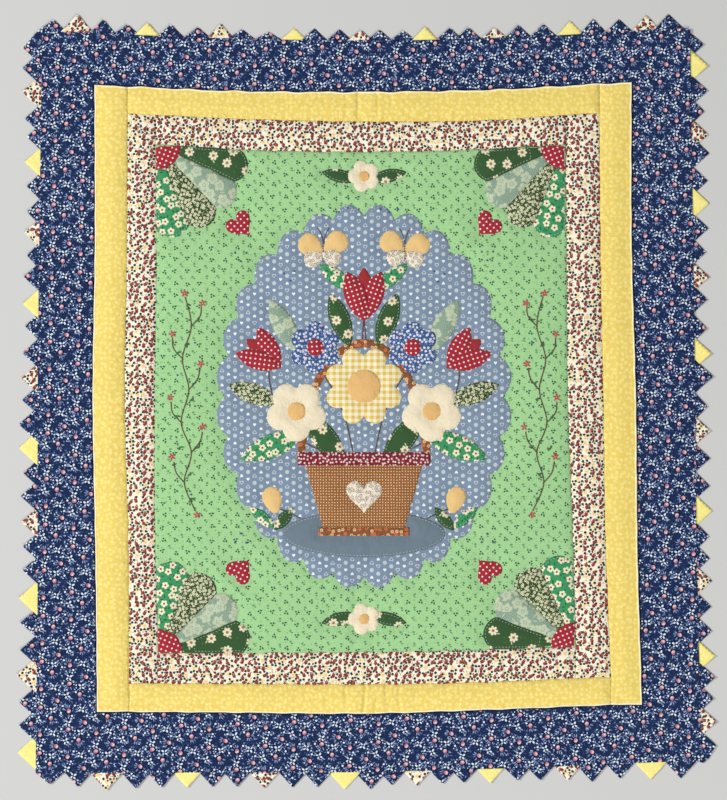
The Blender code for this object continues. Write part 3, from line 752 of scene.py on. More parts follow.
def navy_face(x, y, bounds, upright, seed):
    """Height of the unfilled outer border, how close its stitches are, and how much shade is painted in its
    fold beside the yellow border.
    """
    ripple = np.sin(x / 0.047 + 2 * np.sin(y / 0.09)) * np.sin(y / 0.061 + 1.3)
    height = NAVY_HEIGHT + NAVY_RIPPLE * (0.5 + 0.5 * ripple)
    beyond = [np.maximum(-inside_of(("yellow", side), x, y), 0.0) for side in SIDES]
    inner = np.hypot(beyond[0] + beyond[1], beyond[2] + beyond[3])
    joint = from_seams([line for line in bounds if line[0] == "yellow"], x, y)
    outer = from_seams([line for line in bounds if line[0] == "points"], x, y)
    run = y if upright else x
    pull = grain(run, outer * 0.3, 17 * MM, seed) + 0.5 * grain(run, outer * 0.5, 7 * MM, seed + 5)
    height += 0.5 * MM * pull * fading(outer, 24 * MM)
    height += 0.4 * MM * grain(run, inner * 0.3, 15 * MM, seed + 2) * fading(inner, 18 * MM)
    height -= NAVY_FOLD * bell(inner, 1.9 * MM)
    height -= 0.16 * MM * bell(joint, 1.4 * MM) * (1 - bell(inner, 4 * MM))
    height += 0.35 * MM * grain(x, y, 55 * MM, seed)
    height = mix(1.5 * MM, height, rounded_rise(outer, 1.2 * MM))
    # the last value paints shade into the fold beside the yellow border
    return height, 0.6 * fading(np.minimum(inner, outer), 8 * MM), 0.92 * bell(inner, 2.1 * MM)


# Dyes and printed cloth

FAR = 1.0                       # further than any motif of a print lies from the next
WEAVE_DEPTH = 0.035 * MM
PUCKER_DEPTH = 1.1 * MM
CHECK_REPEAT = 10 * MM          # a pale and a yellow check of the gingham
HEART_CELL = (10.4 * MM, 11.6 * MM)
# Painted shade for the navy's fold beside the yellow border
PAINTED_FOLD_SHADE = (0, 4, 14)
# Painted highlight on the yellow border's turned outer edge
PAINTED_EDGE_HIGHLIGHT = (255, 250, 222)


def dye(red, green, blue):
    """A colour as a viewer sees it, from 0 to 255, made linear for the shader."""
    levels = [level / 255 for level in (red, green, blue)]
    linear = [c / 12.92 if c <= 0.04045 else ((c + 0.055) / 1.055) ** 2.4 for c in levels]
    return (*linear, 1.0)


# For each kind of value in a mix: the first of the two sockets that take it, and the one that gives it
MIX_SOCKETS = {"FLOAT": (2, 0), "VECTOR": (4, 1), "RGBA": (6, 2)}


class Tree:
    """Short ways to add shader nodes to a material or a group."""

    def __init__(self, tree):
        self.tree = tree

    def feed(self, socket, value):
        if isinstance(value, bpy.types.NodeSocket):
            self.tree.links.new(value, socket)
        elif value is not None:
            socket.default_value = value

    def feed_named(self, node, values):
        for name, value in values.items():
            self.feed(node.inputs[name], value)

    def add(self, kind, *values, **settings):
        node = self.tree.nodes.new("ShaderNode" + kind)
        for name, value in settings.items():
            setattr(node, name, value)
        for socket, value in zip(node.inputs, values):
            self.feed(socket, value)
        return node

    def math(self, operation, *values):
        return self.add("Math", *values, operation=operation).outputs[0]

    def times(self, *values):
        return self.math("MULTIPLY", *values)

    def plus(self, *values):
        return self.math("ADD", *values)

    def minus(self, *values):
        return self.math("SUBTRACT", *values)

    def divided(self, *values):
        return self.math("DIVIDE", *values)

    def vector(self, operation, *values):
        return self.add("VectorMath", *values, operation=operation).outputs[0]

    def scaled(self, place, factor):
        node = self.add("VectorMath", place, operation="SCALE")
        self.feed(node.inputs["Scale"], factor)
        return node.outputs[0]

    def turned(self, place, angle):
        node = self.add("VectorRotate", place, rotation_type="Z_AXIS")
        self.feed(node.inputs["Angle"], angle)
        return node.outputs[0]

    def along(self, place, way):
        """How far a place lies along a way."""
        return self.add("VectorMath", place, way, operation="DOT_PRODUCT").outputs["Value"]

    def length(self, place):
        return self.add("VectorMath", place, operation="LENGTH").outputs["Value"]

    def parts(self, place):
        return self.add("SeparateXYZ", place).outputs[:2]

    def place(self, x, y):
        return self.add("CombineXYZ", x, y).outputs[0]

    def reach(self, x, y):
        """How far a place lies from the middle."""
        return self.math("SQRT", self.plus(self.times(x, x), self.times(y, y)))

    def falling(self, value, start, end):
        """1 up to a start and 0 from an end, with a smooth change between them."""
        return self.add("MapRange", value, start, end, 1.0, 0.0, interpolation_type="SMOOTHSTEP").outputs[0]

    def choice(self, kind, mask, without, within):
        """One value where a mask is 0 and another where it is 1."""
        first, given = MIX_SOCKETS[kind]
        node = self.add("Mix", data_type=kind)
        for index, value in ((0, mask), (first, without), (first + 1, within)):
            self.feed(node.inputs[index], value)
        return node.outputs[given]

    def ink(self, ground, mask, colour):
        """A colour printed on a ground where a mask says."""
        return self.choice("RGBA", mask, ground, colour)

    def grain(self, place, per_metre, detail=2.0):
        return self.add("TexNoise", place, None, per_metre, detail).outputs[0]

    def attribute(self, name):
        return self.add("Attribute", attribute_name=name).outputs["Fac"]

    def bump(self, height, strength, distance):
        node = self.add("Bump")
        self.feed_named(node, {"Strength": strength, "Distance": distance, "Height": height})
        return node.outputs[0]

    def group(self, name, *values):
        return self.add("Group", *values, node_tree=bpy.data.node_groups[name]).outputs

    def charted(self, place, spots):
        """The place from the middle of the nearest of a repeat's like motifs."""
        nearest = (None, None, FAR)
        for x, y, turn in spots:
            spot = (x * MM, y * MM, 0)
            nearest = self.group("nearest spot", place, spot, math.radians(-turn), *nearest)
        return self.turned(nearest[0], nearest[1])

    def motif(self, middle, place, form, sizes):
        """Where a printed form lies, at a place from its motif's middle."""
        if place != (0, 0):
            middle = self.vector("SUBTRACT", middle, (place[0] * MM, place[1] * MM, 0))
        if form == "spot":
            length, width, *turn = sizes
            cos, sin = math.cos(math.radians(sum(turn))), math.sin(math.radians(sum(turn)))
            along = (2 * cos / (length * MM), 2 * sin / (length * MM), 0)
            across = (-2 * sin / (width * MM), 2 * cos / (width * MM), 0)
            return self.group("oval spot", middle, along, across)[0]
        group, units = FORMS[form]
        return self.group(group, middle, *(size * unit for size, unit in zip(sizes, units)))[0]


def effect(name, inputs, outputs):
    """A new shader group with named inputs and outputs, and the tree, sources and results to fill it."""
    tree = bpy.data.node_groups.new(name, "ShaderNodeTree")
    kinds = {"v": "NodeSocketVector", "f": "NodeSocketFloat"}
    for names, in_out in ((inputs, "INPUT"), (outputs, "OUTPUT")):
        for socket_name, kind in names:
            tree.interface.new_socket(name=socket_name, in_out=in_out, socket_type=kinds[kind])
    source = tree.nodes.new("NodeGroupInput")
    result = tree.nodes.new("NodeGroupOutput")
    return Tree(tree), source.outputs, result.inputs


def make_scattered_motifs():
    """Places around loosely scattered middles, each with a turn and a chance of its own."""
    tree, source, result = effect(
        "scattered motifs",
        (("Cloth", "v"), ("Pitch", "f"), ("Looseness", "f"), ("Turning", "f"), ("Shift", "v")),
        (("Place", "v"), ("Chance", "f")),
    )
    counted = tree.scaled(source[0], tree.divided(1.0, source[1]))
    counted = tree.vector("ADD", counted, source[4])
    cell = tree.add("TexVoronoi", voronoi_dimensions="2D", feature="F1")
    tree.feed_named(cell, {"Vector": counted, "Scale": 1.0, "Randomness": source[2]})
    place = tree.scaled(tree.vector("SUBTRACT", counted, cell.outputs["Position"]), source[1])
    colours = tree.add("SeparateColor", cell.outputs["Color"]).outputs
    angle = tree.times(tree.math("MULTIPLY_ADD", colours[0], 2 * math.pi, -math.pi), source[3])
    tree.feed(result[0], tree.turned(place, angle))
    tree.feed(result[1], colours[1])


def make_nearest_spot():
    """The place around one spot of the navy repeat, wherever that is nearer than the best one so far."""
    tree, source, result = effect(
        "nearest spot",
        (("Cloth", "v"), ("Spot", "v"), ("Turn", "f"),
         ("Best place", "v"), ("Best turn", "f"), ("Reach", "f")),
        (("Place", "v"), ("Turn", "f"), ("Reach", "f")),
    )
    off = tree.vector("SUBTRACT", source[0], source[1])
    (a, b), (c, d) = NAVY_REPEAT
    area = (a * d - b * c) * MM
    steps = []
    for step, reading in (((a, b), (d, -c)), ((c, d), (-b, a))):
        count = tree.along(off, (reading[0] / area, reading[1] / area, 0))
        steps.append(tree.scaled((step[0] * MM, step[1] * MM, 0), tree.math("WRAP", count, 0.5, -0.5)))
    place = tree.vector("ADD", *steps)
    reach = tree.length(place)
    nearer = tree.math("LESS_THAN", reach, source[5])
    tree.feed(result[0], tree.choice("VECTOR", nearer, source[3], place))
    tree.feed(result[1], tree.choice("FLOAT", nearer, source[4], source[2]))
    tree.feed(result[2], tree.math("MINIMUM", reach, source[5]))


def make_oval_spot():
    tree, source, result = effect(
        "oval spot", (("Place", "v"), ("Along", "v"), ("Across", "v")), (("Mask", "f"),)
    )
    reach = tree.length(tree.place(*(tree.along(source[0], way) for way in source[1:3])))
    tree.feed(result[0], tree.falling(reach, 0.88, 1.12))


def make_petals():
    tree, source, result = effect(
        "petals", (("Place", "v"), ("Radius", "f"), ("Count", "f"), ("Depth", "f")), (("Mask", "f"),)
    )
    x, y = tree.parts(source[0])
    half_turns = tree.times(tree.math("ARCTAN2", y, x), tree.times(source[2], 0.5))
    wave = tree.math("POWER", tree.math("ABSOLUTE", tree.math("COSINE", half_turns)), 0.6)
    edge = tree.math("MULTIPLY_ADD", wave, source[3], tree.minus(1.0, source[3]))
    edge = tree.times(edge, source[1])
    tree.feed(result[0], tree.falling(tree.divided(tree.reach(x, y), edge), 0.88, 1.1))


def make_ring_of_dots():
    tree, source, result = effect(
        "ring of dots", (("Place", "v"), ("Radius", "f"), ("Count", "f"), ("Dot", "f")), (("Mask", "f"),)
    )
    x, y = tree.parts(source[0])
    sector = tree.divided(math.pi, source[2])
    folded = tree.math("WRAP", tree.math("ARCTAN2", y, x), sector, tree.times(sector, -1.0))
    reach = tree.reach(x, y)
    out = tree.minus(tree.times(reach, tree.math("COSINE", folded)), source[1])
    off = tree.reach(out, tree.times(reach, tree.math("SINE", folded)))
    tree.feed(result[0], tree.falling(tree.divided(off, source[3]), 0.8, 1.2))


def make_printed_heart():
    tree, source, result = effect("printed heart", (("Place", "v"), ("Size", "f")), (("Mask", "f"),))
    x, y = tree.parts(tree.scaled(source[0], tree.divided(2.0, source[1])))
    bow = tree.math("SQRT", tree.math("ABSOLUTE", x))
    y = tree.minus(tree.math("MULTIPLY_ADD", y, 1.2, 0.3), tree.times(bow, 0.85))
    tree.feed(result[0], tree.falling(tree.reach(x, y), 0.85, 1.08))


def make_half_drop_lattice():
    """Places from the middle of each cell of even columns, every other one half a cell higher."""
    tree, source, result = effect(
        "half-drop lattice", (("Cloth", "v"), ("Width", "f"), ("Drop", "f")),
        (("Place", "v"), ("Column", "f"), ("Row", "f")),
    )
    x, y = tree.parts(source[0])
    across = tree.divided(x, source[1])
    column = tree.math("FLOOR", across)
    odd = tree.math("MODULO", tree.math("ABSOLUTE", column), 2.0)
    up = tree.math("MULTIPLY_ADD", odd, 0.5, tree.divided(y, source[2]))
    row = tree.math("FLOOR", up)
    middle = []
    for value, cell, size in ((across, column, source[1]), (up, row, source[2])):
        part = tree.minus(tree.minus(value, cell), 0.5)
        middle.append(tree.times(part, size))
    for socket, value in zip(result, (tree.place(*middle), column, row)):
        tree.feed(socket, value)


def make_plain_weave():
    """Height and shade of threads that pass over and under, with the slubs that run along them."""
    tree, source, result = effect(
        "plain weave", (("Cloth", "v"), ("Thread", "f")), (("Height", "f"), ("Shade", "f"))
    )
    x, y = tree.parts(tree.scaled(source[0], tree.divided(math.pi, source[1])))
    over = tree.times(tree.math("SINE", x), tree.math("SINE", y))
    x, y = tree.parts(source[0])
    warp = tree.place(tree.times(x, 9.0), y)
    weft = tree.place(x, tree.times(y, 9.0))
    slubs = tree.plus(tree.grain(warp, 110.0), tree.grain(weft, 110.0))
    tree.feed(result[0], tree.math("MULTIPLY_ADD", over, 0.5, slubs))
    shade = tree.math("MULTIPLY_ADD", slubs, 0.16, 0.84)
    tree.feed(result[1], tree.math("MULTIPLY_ADD", over, 0.03, shade))


def make_drawn_cloth():
    """Fine puckers that deepen where stitches draw the cloth in, shade painted darker near the stitches,
    and its faded patches.
    """
    tree, source, result = effect(
        "drawn cloth", (("Cloth", "v"), ("Drawn", "f")), (("Height", "f"), ("Shade", "f"))
    )
    fine = tree.minus(tree.grain(source[0], 240.0, 1.0), 0.5)
    broad = tree.minus(tree.grain(source[0], 95.0, 1.0), 0.5)
    pull = tree.times(tree.math("MULTIPLY_ADD", fine, 0.9, broad), source[1])
    tree.feed(result[0], tree.plus(pull, tree.times(broad, 0.35)))
    faded = tree.math("MULTIPLY_ADD", tree.grain(source[0], 14.0, 3.0), 0.10, 0.95)
    # the cloth is painted darker near its stitches, as shade in the valleys they draw
    tree.feed(result[1], tree.math("MULTIPLY_ADD", source[1], -0.06, faded))


def new_material(name):
    """A material, its shader and its tree."""
    material = bpy.data.materials.new(name)
    material.use_nodes = True
    return material, material.node_tree.nodes["Principled BSDF"], Tree(material.node_tree)


def cotton(name, printed, yarn=0.5 * MM, relief=1.0, gloss=1.0):
    """A cotton cloth whose print is added by a function of the tree and the place on the cloth."""
    material, shader, tree = new_material(name)
    place = tree.add("UVMap", uv_map="cloth").outputs[0]
    weave_height, weave_shade = tree.group("plain weave", place, yarn)
    drawn_height, drawn_shade = tree.group("drawn cloth", place, tree.attribute("drawn_in"))
    height = tree.times(weave_height, WEAVE_DEPTH)
    height = tree.math("MULTIPLY_ADD", drawn_height, PUCKER_DEPTH * relief, height)
    shade = tree.times(weave_shade, drawn_shade)
    tree.feed_named(shader, {
        "Base Color": tree.scaled(printed(tree, place), shade),
        "Normal": tree.bump(height, 1.0, 1.0),
        "Roughness": 0.9,
        "Specular IOR Level": 0.2 * gloss,
        "Sheen Weight": 0.12 * gloss,
        "Sheen Roughness": 0.6,
    })
    return material


def print_from(ground, inks):
    """A print of scattered motifs on a ground, from a table of its inks."""
    def printed(tree, at):
        colour = dye(*ground)
        scatters = {}
        for pitch, looseness, turning, shift, low, high, place, form, sizes, strength, ink in inks:
            key = (pitch * MM, looseness, turning, (*shift, 0))
            if key not in scatters:
                scatters[key] = tree.group("scattered motifs", at, *key)
            middle, chance = scatters[key]
            mask = tree.motif(middle, place, form, sizes)
            if low > 0:
                mask = tree.times(mask, tree.math("GREATER_THAN", chance, low))
            if high < 1:
                mask = tree.times(mask, tree.math("LESS_THAN", chance, high))
            if strength < 1:
                mask = tree.times(mask, strength)
            colour = tree.ink(colour, mask, dye(*ink))
        return colour

    return printed


def navy_print(tree, at):
    """Buds, clusters and dots of the charted repeat on the navy ground, and shade painted in the deep fold
    at its seam.
    """
    colour = print_from(*PRINTS["navy"])(tree, at)
    for spots, inks in NAVY_MOTIFS:
        middle = tree.charted(at, spots)
        for place, form, sizes, ink in inks:
            colour = tree.ink(colour, tree.motif(middle, place, form, sizes), dye(*ink))
    # shade is painted into the fold beside the yellow border
    return tree.ink(colour, tree.attribute("painted_edge_light"), dye(*PAINTED_FOLD_SHADE))


def yellow_print(tree, at):
    """The yellow print, with a highlight painted where its outer edge is turned over."""
    return tree.ink(print_from(*PRINTS["yellow"])(tree, at), tree.attribute("painted_edge_light"), dye(*PAINTED_EDGE_HIGHLIGHT))


# What each form's sizes are, in mm or as plain numbers. A spot has a length, a width and often a turn
FORMS = {
    "petals": ("petals", (MM, 1, 1)),
    "ring": ("ring of dots", (MM, 1, MM)),
}

# Each print's ground and its inks, from the lowest up. Columns: the scatter's pitch, looseness,
# turning and shift; the chances between which it prints; the motif's own place; its form and its
# sizes (spot: length, width, turn in degrees; petals: radius, count, depth; ring: radius, count,
# dot's radius); strength; colour. Lengths in mm
PRINTS = {
    "navy": ((24, 41, 80), (
        (5.2, 0.9, 1, (8.3, 2.7), 0.5, 1, (0, 0), "spot", (4.2, 1.3), 0.7, (62, 88, 132)),
        (6.6, 0.9, 1, (3.3, 1.7), 0.56, 1, (0, 0), "spot", (4.2, 1.4), 0.8, (112, 138, 184)),
        (6.6, 0.9, 1, (3.3, 1.7), 0.72, 1, (1.3, 1.7), "spot", (2.2, 1.9), 1, (206, 220, 246)),
    )),
    "ditsy": ((251, 242, 220), (
        (4.6, 0.9, 1, (9.2, 4.4), 0.5, 1, (0, 0), "spot", (4.6, 1.2), 0.85, (68, 70, 52)),
        (11.2, 0.45, 0.25, (0, 0), 0.76, 1, (0, 0), "petals", (4.2, 5, 0.42), 0.95, (246, 222, 162)),
        (11.2, 0.45, 0.25, (0, 0), 0.76, 1, (0, 0), "spot", (2.2, 2.2), 0.8, (208, 172, 104)),
        (11.2, 0.45, 1, (7.5, 3.5), 0, 1, (-2.7, -0.5), "spot", (4.5, 4.2), 1, (38, 46, 42)),
        (11.2, 0.45, 1, (7.5, 3.5), 0.12, 1, (2.6, 0.6), "spot", (4.3, 3.9), 1, (42, 50, 52)),
        (11.2, 0.45, 1, (7.5, 3.5), 0.5, 1, (-0.4, 4), "spot", (3.6, 3), 1, (46, 56, 42)),
        (11.2, 0.45, 1, (7.5, 3.5), 0.3, 0.8, (-3, 0), "spot", (1.6, 1.2), 0.6, (104, 122, 112)),
        (11.2, 0.45, 0.25, (0, 0), 0, 0.76, (1.4, 4.2), "spot", (3.8, 1.4, 40), 1, (52, 60, 40)),
        (11.2, 0.45, 0.25, (0, 0), 0, 0.76, (0, -0.5), "spot", (5.8, 5.2), 1, (144, 62, 52)),
        (11.2, 0.45, 0.25, (0, 0), 0, 0.76, (0, 0.2), "spot", (3.5, 8), 1, (140, 56, 48)),
        (11.2, 0.45, 0.25, (0, 0), 0.2, 0.76, (2.5, 1.6), "spot", (2.2, 4.6, -24), 1, (154, 66, 58)),
        (11.2, 0.45, 0.25, (0, 0), 0, 0.5, (-1, 0.8), "spot", (2.2, 3), 0.6, (206, 112, 88)),
        (11.2, 0.45, 0.25, (0, 0), 0.3, 0.76, (0.6, -1), "spot", (1.6, 3.4, 60), 0.7, (88, 26, 30)),
    )),
    "yellow": ((239, 212, 108), (
        (4.3, 0.9, 1, (1.1, 5.3), 0.4, 1, (0, 0), "spot", (1.8, 1.6), 0.5, (252, 231, 146)),
        (8, 0.75, 1, (0, 0), 0, 1, (0, 0), "petals", (2.9, 5, 0.34), 0.65, (254, 237, 150)),
        (8, 0.75, 1, (0, 0), 0.4, 1, (0, 0), "spot", (1.4, 1.4), 0.35, (232, 200, 94)),
        (9.5, 0.9, 1, (5.2, 0.6), 0.35, 1, (0, 0), "spot", (4.6, 2.6), 0.3, (226, 192, 86)),
    )),
    "lemon": ((249, 236, 138), (
        (6.4, 0.85, 1, (2.4, 0.9), 0.3, 1, (0, 0), "petals", (2.4, 5, 0.34), 0.5, (254, 246, 178)),
        (5.1, 0.9, 1, (0.8, 3.9), 0.5, 1, (0, 0), "spot", (1.8, 1.4), 0.4, (240, 222, 112)),
    )),
    "panel": ((163, 211, 148), (
        (5.6, 0.9, 1, (3.1, 4.7), 0.35, 1, (0, 0), "spot", (1.2, 1.2), 1, (120, 164, 88)),
        (9, 0.9, 1, (0.2, 8.7), 0.45, 1, (0, 0), "spot", (1.4, 1.4), 1, (74, 116, 84)),
        (19.5, 0.26, 0.2, (0.5, 0.5), 0, 1, (0, 0), "spot", (4.3, 3.8), 1, (104, 156, 108)),
        (19.5, 0.26, 0.2, (0.5, 0.5), 0, 1, (1.2, -3.6), "spot", (3.6, 1.5), 1, (52, 92, 62)),
        (19.5, 0.26, 0.35, (0, 0), 0, 1, (0, 0), "ring", (2.3, 3, 1.5), 1, (48, 92, 66)),
        (19.5, 0.26, 0.35, (0, 0), 0, 1, (3.4, -1.4), "spot", (3.6, 1.3), 1, (60, 108, 70)),
    )),
    "daisy": ((50, 86, 46), (
        (9.5, 0.9, 1, (0.4, 2.2), 0.6, 1, (0, 0), "spot", (4.4, 1.3), 0.6, (92, 124, 74)),
        (31, 0.5, 1, (0.35, 0.6), 0, 1, (8.4, -4), "spot", (5.4, 2.2), 1, (190, 200, 150)),
        (31, 0.5, 1, (0.35, 0.6), 0, 1, (0, 0), "petals", (7.8, 7, 0.5), 1, (238, 228, 196)),
        (31, 0.5, 1, (0.35, 0.6), 0, 1, (0, 0), "spot", (5.2, 5.2), 1, (146, 104, 68)),
        (31, 0.5, 1, (0.35, 0.6), 0, 1, (0, 0), "ring", (1.9, 6, 0.5), 0.7, (236, 214, 150)),
    )),
    "dense": ((54, 74, 42), (
        (3.3, 0.9, 1, (2.2, 1.3), 0.3, 1, (0, 0), "spot", (3.4, 1), 1, (176, 184, 138)),
        (5.4, 0.8, 1, (0, 0), 0.2, 1, (0, 0), "petals", (2.2, 5, 0.35), 1, (226, 226, 188)),
        (5.4, 0.8, 1, (0, 0), 0.2, 1, (0, 0), "spot", (1.3, 1.3), 1, (70, 84, 48)),
    )),
    "sage": ((134, 160, 140), (
        (3, 0.35, 1, (0, 0), 0, 1, (0, 0), "spot", (1.1, 1.1), 1, (186, 202, 176)),
        (19, 0.75, 1, (6.6, 2.9), 0.12, 1, (0, 0), "petals", (9.4, 5, 0.4), 0.62, (214, 222, 188)),
        (19, 0.75, 1, (6.6, 2.9), 0.12, 1, (0, 0), "ring", (2.6, 7, 0.9), 0.7, (128, 152, 128)),
        (11, 0.8, 1, (1.6, 3.9), 0.4, 1, (0, 0), "spot", (8, 2.6), 0.5, (206, 216, 180)),
    )),
    "bright_green": ((58, 148, 94), (
        (7.5, 0.85, 1, (3.7, 1.9), 0.25, 1, (0, 0), "spot", (5.2, 2), 1, (30, 92, 60)),
        (15.5, 0.5, 1, (0, 0), 0, 1, (0, 0), "petals", (5.8, 5, 0.42), 1, (240, 234, 200)),
        (15.5, 0.5, 1, (0, 0), 0, 1, (0, 0), "spot", (3.4, 3.4), 1, (150, 70, 52)),
    )),
    "rust": ((140, 84, 50), (
        (4.6, 0.85, 1, (7.1, 0.4), 0.35, 1, (0, 0), "spot", (2.8, 1.4), 1, (92, 70, 42)),
        (8.4, 0.75, 1, (0, 0), 0, 1, (0, 0), "petals", (2.9, 5, 0.35), 1, (232, 190, 138)),
        (8.4, 0.75, 1, (0, 0), 0.6, 1, (0, 0), "petals", (2.9, 5, 0.35), 1, (214, 112, 62)),
        (8.4, 0.75, 1, (0, 0), 0, 1, (0, 0), "spot", (1.7, 1.7), 1, (150, 64, 44)),
    )),
    "brown_dot": ((150, 94, 46), (
        (4.5, 0.16, 1, (0, 0), 0, 1, (0, 0), "spot", (1.9, 1.9), 1, (232, 208, 170)),
    )),
    "red_dot": ((164, 34, 50), (
        (7.6, 0.08, 1, (0, 0), 0, 1, (0, 0), "spot", (2.9, 2.9), 1, (238, 226, 220)),
    )),
    "dark_red": ((124, 26, 42), (
        (5.6, 0.7, 1, (0, 0), 0, 1, (0, 0), "petals", (1.7, 5, 0.35), 1, (236, 214, 210)),
        (4.2, 0.9, 1, (2.9, 3.3), 0.5, 1, (0, 0), "spot", (1.2, 1.2), 1, (190, 84, 96)),
    )),
    "cream_floral": ((240, 230, 208), (
        (7.2, 0.7, 1, (0, 0), 0, 1, (0, 0), "petals", (2.9, 5, 0.35), 1, (92, 84, 96)),
        (7.2, 0.7, 1, (0, 0), 0, 1, (0, 0), "petals", (2.1, 5, 0.35), 1, (240, 230, 208)),
        (7.2, 0.7, 1, (0, 0), 0, 1, (0, 0), "spot", (1.5, 1.5), 1, (176, 92, 92)),
        (4.4, 0.9, 1, (1.8, 2.4), 0.45, 1, (0, 0), "spot", (2.6, 0.9), 1, (110, 116, 100)),
    )),
    "blue_calico": ((58, 88, 140), (
        (4, 0.9, 1, (4.4, 1.2), 0.35, 1, (0, 0), "spot", (2.4, 1.3), 1, (146, 178, 220)),
        (6.2, 0.8, 1, (0, 0), 0, 1, (0, 0), "petals", (2, 5, 0.35), 1, (228, 232, 240)),
        (6.2, 0.8, 1, (0, 0), 0.5, 1, (0, 0), "spot", (1.6, 1.6), 1, (218, 130, 140)),
    )),
}


# The navy cloth's repeat: both steps from one motif to its like, and for each kind of motif its
# spots in the repeat (x, y, turn in degrees) and its inks from the lowest up (place from the
# motif's middle, form, sizes, colour). Lengths in mm
NAVY_REPEAT = ((44.2, -35.1), (46.1, 38.0))
NAVY_MOTIFS = (
    (((35.4, 2.3, 0), (32.6, -8.6, 80), (50.3, -13.4, 150), (54.9, 2.9, 200), (74.3, -13.4, 30),
      (79.4, 3.4, 260), (10.3, -13.4, 310), (6.3, 3.4, 120)), (
        ((3.6, 2.6), "spot", (4.2, 1.3, 40), (136, 158, 198)),
        ((-3.2, -3), "spot", (3.8, 1.3, 60), (112, 138, 180)),
        ((-4.4, 1.4), "spot", (1.9, 1.7), (206, 219, 244)),
        ((0.4, -0.4), "spot", (6, 5.4), (0, 12, 42)),
        ((0, 0), "spot", (3.5, 3.1), (226, 238, 255)),
    )),
    (((-0.5, 10, 250), (19.4, -4.6, 0), (-4, -18.9, -76), (-24.6, -5.8, 163)), (
        ((5.8, 5), "spot", (6.4, 1.7, 48), (158, 176, 208)),
        ((7.2, 2.2), "spot", (6, 1.6, 12), (128, 150, 188)),
        ((-5.6, -5), "spot", (5.4, 1.5, 42), (124, 146, 184)),
        ((-3, -7), "spot", (5, 1.5, 78), (150, 168, 202)),
        ((0, 0), "spot", (11.4, 10.6), (0, 12, 42)),
        ((-2.7, 2.1), "spot", (4.6, 3, 140), (224, 237, 255)),
        ((2.4, 2.7), "spot", (4, 2.7, 50), (222, 235, 255)),
        ((2.7, -2.2), "spot", (4.2, 2.5, -30), (220, 234, 255)),
        ((-2, -2.9), "spot", (3.8, 2.5, 70), (210, 226, 253)),
        ((5.6, -0.4), "spot", (2, 1.6, 20), (200, 214, 242)),
        ((-8.6, 2.3), "spot", (2.5, 2.3), (222, 235, 255)),
        ((-8.4, -1.9), "spot", (2, 1.8), (205, 219, 246)),
        ((0, 0.2), "spot", (1.8, 1.5), (96, 100, 78)),
    )),
    (((0, 0, 0), (26.9, 10.9, -61), (45.1, -5.7, -125), (16.6, -17.1, 57)), (
        ((-6.4, -3.2), "spot", (5.6, 1.7, 24), (156, 162, 196)),
        ((-5.2, -6), "spot", (5.8, 1.7, 50), (128, 148, 186)),
        ((-2.4, -7.6), "spot", (5, 1.5, 76), (110, 132, 172)),
        ((2.4, -7.2), "spot", (5.6, 1.6, 108), (142, 158, 194)),
        ((6, 3.8), "spot", (4.6, 1.5, 20), (116, 136, 176)),
        ((0.2, -0.2), "spot", (11.2, 10.2), (0, 12, 42)),
        ((-0.3, -0.4), "spot", (7.6, 6, 30), (158, 108, 134)),
        ((0.4, 0.5), "spot", (6.6, 5, -24), (214, 164, 176)),
        ((1, 1.2), "spot", (3.4, 2.6, 40), (236, 202, 208)),
        ((-0.6, -0.9), "spot", (2.8, 1.2, -40), (176, 114, 130)),
    )),
)


def sky_print(tree, at):
    """Rows of rosettes, of outlined hearts and of small whole hearts, in turn."""
    place, column, row = tree.group("half-drop lattice", at, *HEART_CELL)
    kind = tree.math("FLOORED_MODULO", tree.plus(column, row), 3.0)
    flip = tree.math("FLOORED_MODULO", row, 2.0)
    x, y = tree.parts(place)
    way = tree.place(x, tree.times(y, tree.math("MULTIPLY_ADD", flip, 2.0, -1.0)))
    rosette = tree.group("petals", place, 3.4 * MM, 9, 0.14)[0]
    rosette = tree.times(rosette, tree.math("LESS_THAN", kind, 0.5))
    colour = tree.ink(dye(125, 144, 166), tree.times(rosette, 0.78), dye(206, 218, 218))
    outer, solid, inner = (tree.group("printed heart", way, size * MM)[0] for size in (7.0, 5.2, 4.2))
    solid = tree.times(solid, tree.math("GREATER_THAN", kind, 1.5))
    colour = tree.ink(colour, solid, dye(238, 243, 245))
    outline = tree.minus(outer, inner)
    outline = tree.times(outline, tree.math("COMPARE", kind, 1.0, 0.3))
    return tree.ink(colour, tree.times(outline, 0.85), dye(205, 216, 222))


def gingham_print(tree, at):
    """Checks where the stripes of two ways cross."""
    stripes = []
    for way in tree.parts(at):
        wave = tree.math("SINE", tree.times(way, 2 * math.pi / CHECK_REPEAT))
        stripes.append(tree.minus(1.0, tree.falling(wave, -0.12, 0.12)))
    both = tree.times(tree.plus(*stripes), 0.5)
    return tree.ink(dye(250, 241, 208), both, dye(222, 190, 84))


def slate_cloth(tree, at):
    """A plain cloth whose threads are streaked along their length."""
    x, y = tree.parts(at)
    slub = tree.place(tree.times(x, 14.0), y)
    streak = tree.times(tree.grain(slub, 60.0, 3.0), 0.8)
    return tree.ink(dye(98, 116, 130), streak, dye(122, 139, 150))


def plain(red, green, blue):
    """A cloth dyed in one colour, a little deeper in some threads than in others."""
    def printed(tree, at):
        deeper = dye(red * 0.93, green * 0.92, blue * 0.9)
        return tree.ink(dye(red, green, blue), tree.grain(at, 70.0, 4.0), deeper)

    return printed


def thread(name, red, green, blue):
    """Embroidery or sewing thread, with the twist of its strands."""
    material, shader, tree = new_material(name)
    twist = tree.grain(tree.add("TexCoord").outputs["Object"], 2600.0)
    deeper = dye(red * 0.8, green * 0.8, blue * 0.8)
    tree.feed_named(shader, {
        "Base Color": tree.ink(deeper, twist, dye(red, green, blue)),
        "Normal": tree.bump(twist, 0.6, 0.15 * MM),
        "Roughness": 0.6,
        "Sheen Weight": 0.1,
    })
    return material


